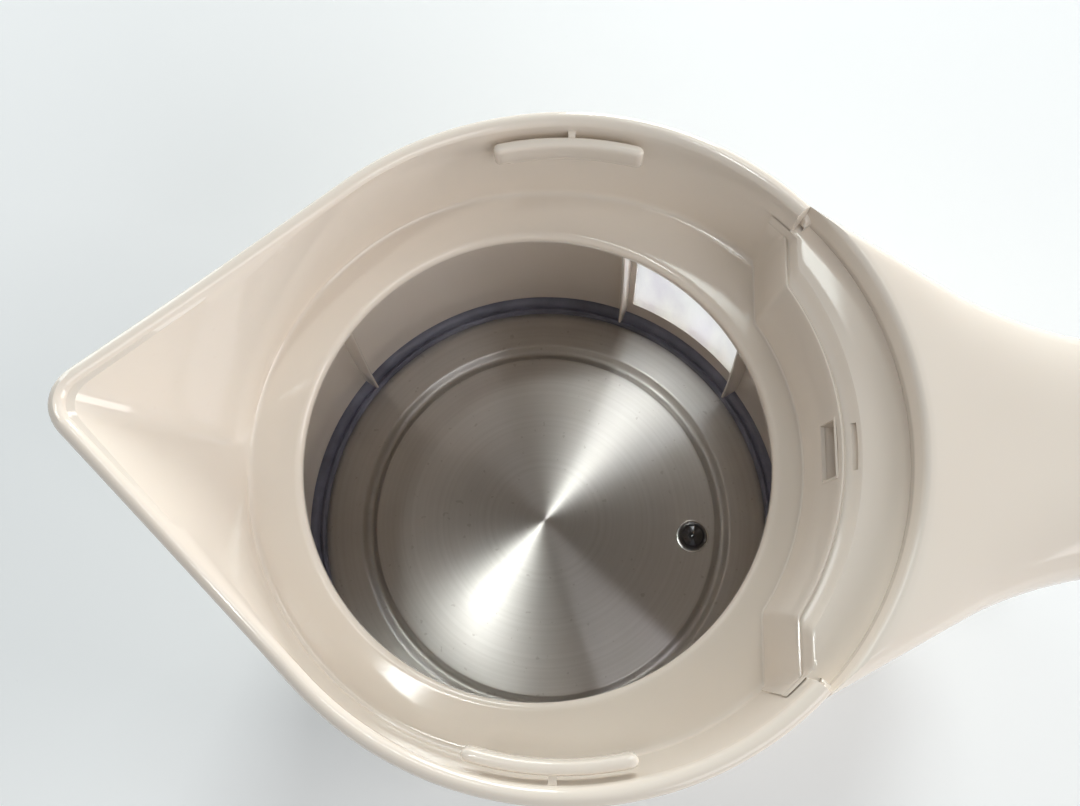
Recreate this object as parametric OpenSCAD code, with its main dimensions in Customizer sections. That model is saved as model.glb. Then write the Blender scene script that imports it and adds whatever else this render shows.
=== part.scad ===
// Cordless electric kettle jug, shown without its lid and away from its power base.
// +X points to the handle, -X to the spout, +Z up. The origin is on the axis of the water
// chamber, at the plane that the jug stands on.

/* [Jug] */
// Outer radius of the jug at its foot
base_r = 69.2; // [60:0.2:90]
// Height of the ledge round the mouth, above the standing plane
ledge_z = 130; // [105:1:170]
// Wall thickness of the jug
jug_wall = 2.7; // [2:0.1:4]
// Radius of the round mouth in the ledge
mouth_r = 44; // [34:0.5:48]
// Inner radius of the neck where it meets the ledge
neck_r = 53.8; // [50:0.2:58]
// Thickness of the ledge
ledge_t = 3; // [2:0.1:5]
// Height of the gap between the standing plane and the bottom edge of the jug
foot_gap = 3; // [2:0.5:6]
// Height of the fins' lower ends above the heating plate
fin_gap = 6; // [5:0.5:15]
// Depth that a fin stands in from the chamber wall
fin_depth = 4.5; // [2:0.5:8]
// Thickness of a fin
fin_t = 1.2; // [0.8:0.1:2.5]

/* [Neck and spout] */
// Height of the rim above the ledge
rim_h = 25; // [20:0.5:40]
// Extra height of the spout's tip above the rim
tip_rise = 8; // [0:0.5:20]
// Outer radius of the round stretch of the rim
rim_r = 57; // [54:0.5:62]
// Distance of the rim's centre behind the chamber's axis
rim_shift = 5; // [0:0.5:8]
// Distance from the chamber's axis to the spout's tip
spout_reach = 75; // [68:0.5:100]
// Radius of the spout's tip, seen from above
tip_r = 7; // [4:0.5:12]
// Thickness of the wall at the rim
rim_wall = 2.8; // [2:0.1:4]
// Inner radius of the upright wall at the rear of the neck
rear_r = 62; // [60:0.5:68]
// Half angle of that rear wall, from above
rear_half = 41; // [35:1:45]
// Length of a lid lug
lug_len = 28; // [12:1:40]
// Height of the lugs' top above the ledge
lug_top = 23; // [12:1:24]
// Depth of a lid lug from its top
lug_h = 5; // [2:0.5:8]

/* [Water windows] */
// Angle from the handle to the near edge of a window
window_from = 38; // [30:1:50]
// Angle from the handle to the far edge of a window
window_to = 69; // [60:1:85]
// Height of a window's lower edge above the heating plate
window_low = 14; // [12:1:30]
// Height of a window's upper edge below the ledge
window_drop = 12; // [9:1:30]

/* [Steam guide] */
// Radius of the guide's front wall
guide_r = 50.5; // [47:0.5:53]
// Distance from the axis to the flat stretches of that wall
guide_flat = 42; // [36:0.5:46]
// Height of the guide's front wall above the ledge
guide_wall_h = 15.5; // [10:0.5:20]
// Radius of the step behind the front wall
guide_step_r = 54.3; // [52:0.1:58]
// Height of the guide's shelf above the ledge
shelf_h = 18.6; // [15:0.2:24]
// Width of the steam slot
slot_w = 9.4; // [6:0.2:14]
// Height of the steam slot
slot_h = 5; // [3:0.5:7]

/* [Handle] */
// Distance from the jug's foot to the middle of the handle's foot
foot_reach = 28.6; // [24:0.2:40]
// Radius of the bend behind that stretch
bend_r = 27; // [20:0.5:40]
// Angle that the grip leans in towards the jug
grip_lean = 15; // [5:1:20]
// Half width of the handle where it leaves the jug
flare_half = 40; // [30:0.5:42]
// Half width of the handle just behind the neck
shoulder_half = 30; // [24:0.5:36]
// Half width of the grip
grip_half = 15.5; // [12:0.5:20]
// Half thickness of the handle where it leaves the jug
root_thick = 13.6; // [11:0.2:16]
// Half thickness of the grip
grip_thick = 11; // [9:0.5:15]
// Wall thickness of the handle's shell and liner
handle_wall = 2.4; // [1.8:0.1:3.5]

/* [Switch housing] */
// Height of the housing's top above the standing plane
housing_top = 44; // [38:1:60]
// Height of the housing's bottom above the standing plane
housing_low = 6; // [4:0.5:12]
// Distance from each side of the lever to the housing's outer side
lever_side = 7.5; // [6:0.5:12]
// Wall thickness of the housing
housing_wall = 2.4; // [1.8:0.1:3.5]
// Width of the on and off lever
lever_w = 18; // [10:0.5:24]
// Length of the lever's paddle outside the housing
paddle_len = 14; // [8:0.5:20]
// Radius of the lever's pin
lever_pin_r = 1.5; // [1:0.1:2.5]
// Length of the lever's inner arm below its pin
arm_len = 9; // [6:0.5:12]
// Angle that the lever turns, from off to on
lever_turn = 15; // [8:1:18]

/* [Heating plate] */
// Height of the plate's top above the standing plane
plate_z = 39; // [37:0.5:55]
// Thickness of the plate's sheet
plate_t = 0.8; // [0.5:0.1:1.5]
// Inner radius of the pressed groove
groove_in = 48; // [46:0.5:52]
// Width of the pressed groove
groove_w = 3.2; // [2:0.2:6]
// Depth of the pressed groove
groove_d = 1.8; // [1:0.1:2.5]
// Radius of the temperature sensor's dome
dome_r = 3.9; // [3:0.1:6]
// Distance from the axis to the sensor
dome_at = 41.4; // [36:0.2:42]
// Angle of the sensor from the handle
dome_angle = -4.5; // [-20:0.5:20]

/* [Base and connector] */
// Radius of the connector's bore
socket_r = 14; // [12:0.5:18]
// Depth of the connector's bore
socket_depth = 9; // [7:0.5:9]
// Wall thickness of the connector's socket
socket_wall = 3; // [2:0.1:4]
// Distance from the middle of the boiler control's screws to its edge
control_edge = 3; // [2.5:0.5:6]
// Radius of every self tapping screw's thread
screw_r = 1.5; // [1:0.1:2]
// Thickness of the base cover
cover_t = 2.6; // [2:0.1:3]

/* [Clearances] */
// Gap between two fitted pieces that don't move
gap = 0.15; // [0.1:0.05:0.3]
// Radial clearance of the lever on its pin
run_gap = 0.05; // [0.02:0.01:0.1]
// Gap between the handle's first section and the neck
root_gap = 0.9; // [0.8:0.1:1.5]
// Gap round a moving piece
free_gap = 0.5; // [0.3:0.1:1]

/* [Hidden] */
$fn = 96;

cream = [0.90, 0.87, 0.80];
steel = [0.75, 0.76, 0.77];
brass = [0.80, 0.66, 0.36];
rubber = [0.24, 0.22, 0.26];

rim_z = ledge_z + rim_h;
rim_edge = 1.2;

// Jug radii: the seal's seat is stepped out below a narrow lip
seat_r = base_r - jug_wall;
lip_r = seat_r - 1.5;
lip_z = plate_z + 5;
groove_z = lip_z - 13.8;
ring_t = 1.4;
ring_bite = 1;
neck_out = neck_r + jug_wall;
taper_power = 1.25;
spout_low = ledge_z - 4;

// The control's screws stand just outside the connector's socket
control_screw_at = socket_r + socket_wall + screw_r * 1.7 + 3 * gap;
control_r = control_screw_at + control_edge;

// Ports through the jug: one for the steam and one for the switch's rod and wires
port_half = 9;
port_low = 10;
port_high = 28;
steam_half = 4.5;
steam_low = 5;
steam_high = 15;

window_z0 = plate_z + window_low;
window_z1 = ledge_z - window_drop;

// Heights where the jug starts to swell towards the handle, and where it has done so
bulge_low = window_z1 - 2;
bulge_full = ledge_z - ledge_t - 1;

function mix(a, b, t) = a + (b - a) * t;
function clamp01(t) = min(1, max(0, t));
function ease(t) = let (c = clamp01(t)) c * c * (3 - 2 * c);
function span(a, b, n) = [for (i = [0:n - 1]) mix(a, b, i / n)];
function reverse(v) = [for (i = [len(v) - 1:-1:0]) v[i]];

// Outer radius of the round jug at a height
function out_r(z) = base_r - (base_r - neck_out)
                    * pow(clamp01((z - lip_z) / (ledge_z - lip_z)), taper_power);

// Distance from the axis to the outline that wraps a big circle and a small one on its -X side
function wrap_r(a, big_x, big, tip_x, tip) =
    let (ux = cos(a), uy = abs(sin(a)), d = big_x - tip_x,
         lean = acos(min(1, (big - tip) / max(d, big - tip))),
         nx = -cos(lean), ny = sin(lean),
         big_a = atan2(big * ny, big_x + big * nx),
         tip_a = atan2(tip * ny, tip_x + tip * nx),
         here = atan2(uy, ux))
    here <= big_a ? big_x * ux + sqrt(pow(big_x * ux, 2) - big_x * big_x + big * big)
    : here >= tip_a ? tip_x * ux + sqrt(max(0, pow(tip_x * ux, 2) - tip_x * tip_x + tip * tip))
    : (big_x * nx + big) / (ux * nx + uy * ny);

// Height of the rim over a point at distance x along the axis of the spout
function rim_at(x) = rim_z + tip_rise * pow(clamp01((-x - rim_shift) / (spout_reach - rim_shift)), 1.6);
function rim_top(a) = rim_at(cos(a) * wrap_r(a, rim_shift, rim_r, tip_r - spout_reach, tip_r));

// How far the rear of the neck has swelled into its upright wall, at an angle and a height
function rear_share(a, z) = (1 - ease((abs(a) - rear_half) / 5))
                            * ease((z - bulge_low) / (bulge_full - bulge_low));

// How far the neck's centre has moved to the handle, at an angle and a height. The half by the
// handle has moved already at the ledge, and the half by the spout moves on the way up
function shift_at(a, u) =
    rim_shift * max(clamp01((u - ledge_z) / rim_h),
                    (1 - ease((abs(a) - 60) / 50)) * ease((u - window_z1) / (bulge_full - window_z1)));

// Outer wall of the jug. u is the height, as it would be if the rim were level
function outer_at(a, u) =
    let (up = clamp01((u - ledge_z) / rim_h),
         round_r = u < ledge_z ? out_r(u) : mix(neck_out, rim_r, up),
         shift = shift_at(a, u),
         beak = clamp01((u - spout_low) / (rim_z - spout_low)),
         tip_x = mix(shift - round_r + tip_r, tip_r - spout_reach, pow(beak, 1.1)))
    mix(wrap_r(a, shift, round_r, tip_x, tip_r), rear_r + jug_wall, rear_share(a, u));

// Inner wall of the neck, above the ledge
function neck_at(a, u) =
    let (up = clamp01((u - ledge_z) / rim_h),
         shift = shift_at(a, u),
         round_r = mix(neck_r, rim_r - rim_wall, up),
         small = tip_r - rim_wall,
         tip_x = mix(shift - round_r + small, tip_r - spout_reach, up))
    mix(wrap_r(a, shift, round_r, tip_x, small), rear_r, 1 - ease((abs(a) - rear_half) / 5));

// Inner wall of the water chamber, below the ledge
function chamber_r(z) = mix(lip_r, neck_out - jug_wall,
                            pow(clamp01((z - lip_z) / (ledge_z - ledge_t - lip_z)), taper_power));

// A point of the jug from its angle, its distance from the axis and its level height
function level(a, u) = u <= ledge_z ? u : ledge_z + (u - ledge_z) * (rim_top(a) - ledge_z) / rim_h;
function spot(a, r, u) = [r * cos(a), r * sin(a), level(a, u)];

// Angles round the jug, closer together at the spout, with one at each edge of each opening
half_angles = concat(span(0, steam_half, 1), span(steam_half, port_half, 1),
                     span(port_half, window_from, 5), span(window_from, window_to, 6),
                     span(window_to, 150, 12), span(150, 170, 6), span(170, 180, 7));
angles = concat(half_angles, [180], [for (i = [len(half_angles) - 1:-1:1]) -half_angles[i]]);

// Heights of the outer wall, from the foot up, and of the walls inside it
window_steps = 5;
window_heights = [for (i = [0:window_steps]) mix(window_z0, window_z1, i / window_steps)];
outer_heights = concat([foot_gap, port_low, port_high, lip_z], window_heights,
                       [bulge_low + 4, bulge_full, ledge_z + steam_low, ledge_z + steam_high,
                        rim_z - rim_edge]);
neck_heights = [rim_z - rim_edge, ledge_z + steam_high, ledge_z + steam_low, ledge_z];
mouth_edge = [[mouth_r + 1.5, ledge_z], [mouth_r, ledge_z - 1], [mouth_r, ledge_z - ledge_t]];
seat_edge = [[lip_r, lip_z], [seat_r, lip_z], [seat_r, groove_z], [seat_r + ring_bite, groove_z],
             [seat_r + ring_bite, groove_z - ring_t - gap], [seat_r, groove_z - ring_t - gap],
             [seat_r, port_high]];
foot_edge = [[seat_r, port_low], [seat_r, foot_gap]];

function jug_loop(a) = concat(
    [for (u = outer_heights) spot(a, outer_at(a, u), u)],
    [spot(a, outer_at(a, rim_z) - rim_edge / 2, rim_z), spot(a, neck_at(a, rim_z) + rim_edge / 2, rim_z)],
    [for (u = neck_heights) spot(a, neck_at(a, u), u)],
    [for (p = mouth_edge) spot(a, p[0], p[1])],
    [spot(a, chamber_r(ledge_z - ledge_t), ledge_z - ledge_t)],
    [for (z = reverse(window_heights)) spot(a, chamber_r(z), z)],
    [for (p = concat(seat_edge, foot_edge)) spot(a, p[0], p[1])]);

// Places in the loop where the openings start and end
first_window = 4;
last_window = first_window + window_steps;
steam_row = last_window + 3;
neck_row = len(outer_heights) + 3;
chamber_row = len(outer_heights) + 2 + len(neck_heights) + len(mouth_edge) + 1;
seat_row = chamber_row + window_steps + len(seat_edge);
first_angle = 7;
last_angle = first_angle + 6;
turns = len(angles);

// Each opening: first and last angle, outer rows from the bottom up, inner rows from the top down
openings = [
    [first_angle, last_angle, first_window, last_window, chamber_row, chamber_row + window_steps],
    [turns - last_angle, turns - first_angle, first_window, last_window,
     chamber_row, chamber_row + window_steps],
    [turns - 2, turns + 2, 1, 2, seat_row, seat_row + 1],
    [turns - 1, turns + 1, steam_row, steam_row + 1, neck_row, neck_row + 1]];

function inside(i, lo, hi) = (i >= lo && i < hi) || (i + turns >= lo && i + turns < hi);
function open_cell(i, j) = len([for (o = openings)
    if (inside(i, o[0], o[1]) && ((j >= o[2] && j < o[3]) || (j >= o[4] && j < o[5]))) 1]) > 0;

// Closed solid from a grid of points that closes both ways, with openings through its wall
module ring_grid(rows, cuts) {
    n = len(rows);
    m = len(rows[0]);
    function at(i, j) = ((i + n) % n) * m + ((j + m) % m);
    skin = [for (i = [0:n - 1], j = [0:m - 1]) if (!(len(cuts) > 0 && open_cell(i, j)))
            each [[at(i, j), at(i, j + 1), at(i + 1, j + 1)], [at(i, j), at(i + 1, j + 1), at(i + 1, j)]]];
    sills = [for (o = cuts, i = [o[0]:o[1] - 1])
             each [[at(i, o[2]), at(i + 1, o[2]), at(i + 1, o[5])],
                   [at(i, o[2]), at(i + 1, o[5]), at(i, o[5])],
                   [at(i, o[3]), at(i, o[4]), at(i + 1, o[4])],
                   [at(i, o[3]), at(i + 1, o[4]), at(i + 1, o[3])]]];
    sides = [for (o = cuts)
             each [concat([for (j = [o[2]:o[3]]) at(o[0], j)], [for (j = [o[4]:o[5]]) at(o[0], j)]),
                   reverse(concat([for (j = [o[2]:o[3]]) at(o[1], j)],
                                  [for (j = [o[4]:o[5]]) at(o[1], j)]))]];
    polyhedron([for (r = rows) each r], concat(skin, reverse([for (f = sills) reverse(f)]), sides));
}

// Fins stand in from the chamber wall and stiffen the ledge
fin_low = plate_z + fin_gap;
fin_angles = [window_from - 2, window_to + 2, 144];
module fin(a) {
    root = jug_wall / 2;
    rotate([90, 0, a])
    linear_extrude(fin_t, center = true)
    polygon([[chamber_r(fin_low) - fin_depth, fin_low], [chamber_r(fin_low) + root, fin_low],
             [chamber_r(window_z0) + root, window_z0], [chamber_r(window_z1) + root, window_z1],
             [chamber_r(ledge_z - ledge_t) + 0.5, ledge_z - ledge_t / 2],
             [chamber_r(window_z1) - fin_depth, ledge_z - ledge_t / 2]]);
}

// A lug is a bar along the wall of the neck, held off it by one rib
lug_t = 2;
lug_off = 1.2;
module lug(side) {
    top = ledge_z + lug_top;
    wall_r = mix(neck_r, rim_r - rim_wall, (lug_top - lug_h) / rim_h);
    shift = shift_at(90, ledge_z + lug_top - lug_h);
    turn = lug_len / wall_r * 90 / PI;
    translate([shift, 0, top - lug_h]) {
        rotate([0, 0, side * 90 - turn])
        rotate_extrude(angle = 2 * turn)
        translate([wall_r - lug_off - lug_t, 0])
        square([lug_t, lug_h]);
        translate([-fin_t / 2, side > 0 ? wall_r - lug_off - 1 : -wall_r - 1, 0])
        cube([fin_t, lug_off + 2, lug_h - 0.6]);
    }
}

module body_shell() {
    color(cream)
    difference() {
        union() {
            ring_grid([for (a = angles) jug_loop(a)], openings);
            for (a = fin_angles, s = [-1, 1]) fin(a * s);
            for (s = [-1, 1]) lug(s);
        }
        for (s = [-1, 1])
            translate([seat_r - jug_wall * 2, s * housing_screw_y, housing_screw_z])
            rotate([0, 90, 0])
            cylinder(r = screw_r + gap, h = jug_wall * 4);
    }
}

// ---- Guide block behind the mouth, which takes the steam to the handle ----

guide_end = 45;
guide_angles = concat([for (a = reverse(half_angles)) if (a > 0 && a < guide_end) -a],
                      [for (a = half_angles) if (a < guide_end) a]);
guide_hollow_half = 30;
guide_skin = 2.2;

function guide_wall_at(a) = min(neck_at(a, ledge_z), neck_at(a, ledge_z + shelf_h)) - 2 * gap;

// Plan of the block behind a round front of one radius and flat stretches at one distance
module guide_plan(round_r, flat_x) {
    difference() {
        polygon(concat([[0, 0]], [for (a = guide_angles) guide_wall_at(a) * [cos(a), sin(a)]]));
        circle(round_r);
        translate([-rear_r, -rear_r])
        square([rear_r + flat_x, 2 * rear_r]);
    }
}

module steam_guide() {
    color(cream)
    difference() {
        union() {
            translate([0, 0, ledge_z + gap])
            linear_extrude(guide_wall_h - gap)
            guide_plan(guide_r, guide_flat);
            translate([0, 0, ledge_z + gap])
            linear_extrude(shelf_h - gap)
            guide_plan(guide_step_r, guide_flat + 2.8);
        }
        // Steam chamber inside the block
        translate([0, 0, ledge_z + guide_skin])
        rotate([0, 0, -guide_hollow_half])
        rotate_extrude(angle = 2 * guide_hollow_half)
        translate([guide_r + guide_skin, 0])
        square([rear_r - guide_r - 2 * guide_skin, guide_wall_h - 2 * guide_skin]);
        // Slot in the front wall
        translate([guide_r - 2, -slot_w / 2, ledge_z + guide_wall_h - guide_skin - slot_h])
        cube([guide_skin * 3, slot_w, slot_h]);
        // Way out to the handle
        translate([rear_r - guide_skin * 2, -rear_r * sin(steam_half), ledge_z + steam_low])
        cube([guide_skin * 3, 2 * rear_r * sin(steam_half), guide_wall_h - guide_skin - steam_low]);
    }
}

// ---- Handle: a shell round the back and a liner on the finger side ----

flare_fade = 24;
thick_fade = 30;
bridge_z = rim_z - root_thick - 0.4;
root_r = rear_r + jug_wall + root_gap;
bend_turn = 90 + grip_lean;
bend_len = bend_r * bend_turn * PI / 180;
bend_end_z = bridge_z - bend_r + bend_r * cos(bend_turn);
grip_len = (bend_end_z - housing_top) / cos(grip_lean);
foot_x = base_r + foot_reach;
bend_x = foot_x + grip_len * sin(grip_lean) - bend_r * sin(bend_turn);
bend_end = [bend_x + bend_r * sin(bend_turn), bend_end_z];
bridge_len = bend_x - root_r;
handle_len = bridge_len + bend_len + grip_len;
seam_low = 218;
seam_high = 322;
seam_gap = 2;
corner_power = 0.62;

// Middle of the handle and its heading at a distance along it
function handle_turn(s) = clamp01((s - bridge_len) / bend_len) * bend_turn;
function handle_mid(s) =
    let (t = handle_turn(s))
    s <= bridge_len ? [root_r + s, bridge_z]
    : s <= bridge_len + bend_len ? [bend_x + bend_r * sin(t), bridge_z - bend_r + bend_r * cos(t)]
    : bend_end + (s - bridge_len - bend_len) * [-sin(grip_lean), -cos(grip_lean)];
function handle_half(s) = s <= 0 ? flare_half
                          : grip_half + (shoulder_half - grip_half) * exp(-s / flare_fade);
function handle_thick(s) = grip_thick + (root_thick - grip_thick) * exp(-s / thick_fade);

// A point of the handle's section, a distance inside its outer face. Angle 90 is its back
function bent(c) = sign(c) * pow(abs(c), corner_power);
function section_spot(s, a, inset) =
    let (t = handle_turn(s), mid = handle_mid(s),
         y = (handle_half(s) - inset) * bent(cos(a)),
         n = (handle_thick(s) - inset) * bent(sin(a)))
    [mid[0] + n * sin(t), y, mid[1] + n * cos(t)];

// The first section lies on the neck and the last on the switch housing
function seated(p, s) =
    s <= 0 ? [sqrt(root_r * root_r - p[1] * p[1]), p[1], p[2]]
    : s >= handle_len ? [p[0] + (p[2] - housing_top - gap) * -tan(grip_lean), p[1], housing_top + gap]
    : p;

handle_stops = concat(span(0, bridge_len, 5), span(bridge_len, bridge_len + bend_len, 10),
                      span(bridge_len + bend_len, handle_len, 6), [handle_len]);
function handle_rows(from, to, n) = [for (s = handle_stops) concat(
    [for (i = [0:n]) seated(section_spot(s, mix(from, to, i / n), 0), s)],
    [for (i = [n:-1:0]) seated(section_spot(s, mix(from, to, i / n), handle_wall), s)])];

// Closed solid from rows of points. Each row runs out along one face and back along the other
module strip_solid(rows) {
    n = len(rows);
    m = len(rows[0]);
    function at(i, j) = i * m + (j + m) % m;
    skin = [for (i = [0:n - 2], j = [0:m - 1])
            each [[at(i, j), at(i + 1, j + 1), at(i, j + 1)], [at(i, j), at(i + 1, j), at(i + 1, j + 1)]]];
    ends = [for (j = [0:m / 2 - 2])
            each [[at(0, j), at(0, j + 1), at(0, m - 2 - j)],
                  [at(0, j), at(0, m - 2 - j), at(0, m - 1 - j)],
                  [at(n - 1, j), at(n - 1, m - 2 - j), at(n - 1, j + 1)],
                  [at(n - 1, j), at(n - 1, m - 1 - j), at(n - 1, m - 2 - j)]]];
    polyhedron([for (r = rows) each r], concat(skin, ends));
}

handle_screw_s = bridge_len * 0.55;
handle_screw_y = 10;
handle_screw_x = root_r + handle_screw_s;
handle_low = bridge_z - handle_thick(handle_screw_s);
handle_top = bridge_z + handle_thick(handle_screw_s);

module handle_shell() {
    color(cream)
    difference() {
        union() {
            strip_solid(handle_rows(seam_high - 360, seam_low, 16));
            for (s = [-1, 1])
                translate([handle_screw_x, s * handle_screw_y, bridge_z - 2])
                cylinder(r = screw_r * 2, h = handle_top - handle_wall - bridge_z + 3);
        }
        for (s = [-1, 1])
            translate([handle_screw_x, s * handle_screw_y, bridge_z - 4])
            cylinder(r = screw_r + run_gap, h = 11);
    }
}

module handle_inner() {
    color(cream)
    difference() {
        strip_solid(handle_rows(seam_low + seam_gap, seam_high - seam_gap, 8));
        for (s = [-1, 1])
            translate([handle_screw_x, s * handle_screw_y, handle_low - 2]) {
                cylinder(r = screw_r + gap, h = handle_wall * 3);
                cylinder(r = screw_r * 1.8 + gap, h = handle_wall + 1.4);
            }
    }
}

module screw(len, head_r, head_h) {
    cylinder(r = head_r, h = head_h);
    translate([0, 0, head_h - 0.1])
    cylinder(r = screw_r, h = len);
}

module handle_screws() {
    color(steel)
    for (s = [-1, 1])
        translate([handle_screw_x, s * handle_screw_y, handle_low + 0.2])
        screw(bridge_z + 3 - handle_low, screw_r * 1.8, 1.5);
}

// ---- Switch housing at the handle's foot ----

housing_rear = foot_x + grip_thick / cos(grip_lean);
housing_half = lever_w / 2 + lever_side;
housing_corner = 7;
pivot_x = housing_rear - 11;
pivot_z = housing_low + 18;
hub_r = 4;
paddle_t = 4.6;
lever_drop = (housing_rear - pivot_x) * tan(lever_turn) + 2 * free_gap;
ear_t = 2.2;
ear_in = lever_w / 2 + free_gap;
port_y = base_r * sin(port_half) - 1;
housing_screw_y = housing_half - 3;
housing_screw_z = (port_low + port_high) / 2 + 1;
housing_inner_top = housing_top - housing_wall;

module housing_plan(inset) {
    half = housing_half - inset;
    rear = housing_rear - inset;
    corner = housing_corner - inset;
    translate([base_r - 12, -half])
    square([rear - corner - base_r + 12, 2 * half]);
    translate([base_r - 12, -half + corner])
    square([rear - base_r + 12, 2 * (half - corner)]);
    for (s = [-1, 1])
        translate([rear - corner, s * (half - corner)])
        circle(corner);
}

module switch_housing() {
    color(cream)
    difference() {
        union() {
            difference() {
                translate([0, 0, housing_low])
                linear_extrude(housing_top - housing_low)
                housing_plan(0);
                // Hollow behind the front wall
                difference() {
                    translate([0, 0, housing_low + housing_wall])
                    linear_extrude(housing_top - housing_low - 2 * housing_wall)
                    housing_plan(housing_wall);
                    cylinder(r = base_r + gap + housing_wall, h = housing_top);
                }
            }
            // Ears that hold the lever's pin
            for (s = [-1, 1])
                translate([pivot_x - 4, s > 0 ? ear_in : -ear_in - ear_t, housing_low + 1])
                cube([8, ear_t, pivot_z + 4 - housing_low - 1]);
            // Bosses for the screws from inside the jug
            for (s = [-1, 1])
                translate([base_r - 6, s * housing_screw_y, housing_screw_z])
                rotate([0, 90, 0])
                cylinder(r = screw_r + 1.6, h = 16);
        }
        translate([0, 0, -1])
        cylinder(r = base_r + gap, h = housing_top + 2);
        for (s = [-1, 1])
            translate([base_r - 8, s * housing_screw_y, housing_screw_z])
            rotate([0, 90, 0])
            cylinder(r = screw_r + run_gap, h = 15);
        // Way through to the jug
        translate([base_r - 9, -port_y + 1.5, port_low + 1])
        cube([14, 2 * port_y - 3, port_high - port_low - 2]);
        // Slot for the lever's paddle
        translate([housing_rear - housing_wall - 1, -lever_w / 2 - free_gap,
                   pivot_z - paddle_t / 2 - lever_drop])
        cube([housing_wall + 2, lever_w + 2 * free_gap, paddle_t + lever_drop + free_gap]);
        // Window for the pilot lens
        translate([housing_rear - housing_wall - 1, -lens_half, lens_low])
        cube([housing_wall + 2, 2 * lens_half, lens_h]);
        // Way up into the handle
        translate([foot_x - 5, -6, housing_inner_top - 1])
        cube([10, 12, housing_wall + 2]);
        // Bore for the pin
        translate([pivot_x, 0, pivot_z])
        rotate([90, 0, 0])
        cylinder(r = lever_pin_r + 0.01, h = 2 * (ear_in + ear_t + 1), center = true);
    }
}

module housing_screws() {
    head_x = sqrt(pow(seat_r, 2) - pow(housing_screw_y + screw_r * 1.8, 2)) - gap;
    color(steel)
    for (s = [-1, 1])
        translate([head_x - 1.8, s * housing_screw_y, housing_screw_z])
        rotate([0, 90, 0])
        screw(base_r + 7 - head_x, screw_r * 1.8, 1.8);
}

// ---- On and off lever, with the rod that it slides ----

module lever_pin() {
    color(steel)
    translate([pivot_x, 0, pivot_z])
    rotate([90, 0, 0])
    cylinder(r = lever_pin_r, h = 2 * (ear_in + ear_t), center = true);
}

arm_half = 1;
rod_z = pivot_z - arm_len;
rod_half_h = 1.5;
arm_tip = rod_half_h + 0.3;
eye_gap = arm_half + arm_tip * tan(lever_turn) + 0.3;

module switch_lever() {
    paddle_end = housing_rear + paddle_len - pivot_x;
    color([0.55, 0.50, 0.44])
    translate([pivot_x, 0, pivot_z])
    difference() {
        union() {
            rotate([90, 0, 0])
            cylinder(r = hub_r, h = lever_w, center = true);
            translate([0, -lever_w / 2, -paddle_t / 2])
            cube([paddle_end - 3, lever_w, paddle_t]);
            translate([paddle_end - 3, 0, 0])
            rotate([90, 0, 0])
            cylinder(r = paddle_t / 2 + 0.6, h = lever_w, center = true);
            translate([-arm_half, -2.5, -arm_len - arm_tip])
            cube([2 * arm_half, 5, arm_len]);
        }
        rotate([90, 0, 0])
        cylinder(r = lever_pin_r + run_gap, h = lever_w + 2, center = true);
    }
}

rod_front = control_r - 4;
module trip_rod() {
    color("white")
    difference() {
        union() {
            translate([rod_front, -2, rod_z - rod_half_h])
            cube([pivot_x - rod_front, 4, 2 * rod_half_h]);
            translate([pivot_x - 6, -5, rod_z - rod_half_h])
            cube([12, 10, 2 * rod_half_h]);
        }
        translate([pivot_x - eye_gap, -2.5 - free_gap, rod_z - rod_half_h - 1])
        cube([2 * eye_gap, 5 + 2 * free_gap, 2 * rod_half_h + 2]);
    }
}

module toggle_spring() {
    top = housing_inner_top - 11;
    low = pivot_z + hub_r + free_gap;
    color(steel)
    translate([pivot_x, 0, 0])
    rotate([90, 0, 0])
    linear_extrude(6, center = true)
    polygon([[-7, top], [-7, top - 0.5], [0, low], [5, top - 2.4],
             [5, top - 1.9], [0, low + 0.7], [-6.4, top]]);
}

// ---- Steam tube, steam switch and pilot lamp ----

tube_r = 3.5;
tube_bore = 2.5;
tube_start = 4;

// Round bar of twelve sides along the middle of the handle
module handle_bar(r, from, to) {
    stops = [for (s = concat([from], [for (t = handle_stops) if (t > from + 1 && t < to - 1) t], [to])) s];
    strip_solid([for (s = stops) [for (k = [0:11])
        let (t = handle_turn(s), mid = handle_mid(s), y = r * cos(k * 30), n = r * sin(k * 30))
        [mid[0] + n * sin(t), y, mid[1] + n * cos(t)]]]);
}

module steam_tube() {
    color([0.85, 0.85, 0.82])
    difference() {
        handle_bar(tube_r, tube_start, handle_len - 1);
        handle_bar(tube_bore, tube_start - 1, handle_len);
    }
}

switch_x = foot_x - 13;
module steam_switch() {
    color([0.20, 0.20, 0.21])
    translate([switch_x, -9, housing_inner_top - 11])
    difference() {
        cube([15, 18, 7.5]);
        translate([7.5, 9, 5])
        cylinder(r = 6.8, h = 4);
    }
}

module steam_disc() {
    color(brass)
    translate([switch_x + 7.5, 0, housing_inner_top - 11 + 5.8])
    cylinder(r = 6.4, h = 0.5);
}

lens_half = 5;
lens_h = 5;
lens_low = housing_inner_top - 7.5;
module pilot_lens() {
    color([0.85, 0.25, 0.12])
    translate([housing_rear - housing_wall - 0.4, -lens_half + gap, lens_low + gap])
    cube([housing_wall + 0.8, 2 * lens_half - 2 * gap, lens_h - 2 * gap]);
}

lamp_r = 1.9;
lamp_x = housing_rear - housing_wall - 0.8 - lamp_r;
lamp_z = lens_low + lens_h / 2;
module pilot_lamp() {
    color([0.95, 0.75, 0.55])
    translate([lamp_x, 0, lamp_z])
    rotate([90, 0, 0])
    cylinder(r = lamp_r, h = 11, center = true);
}

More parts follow.
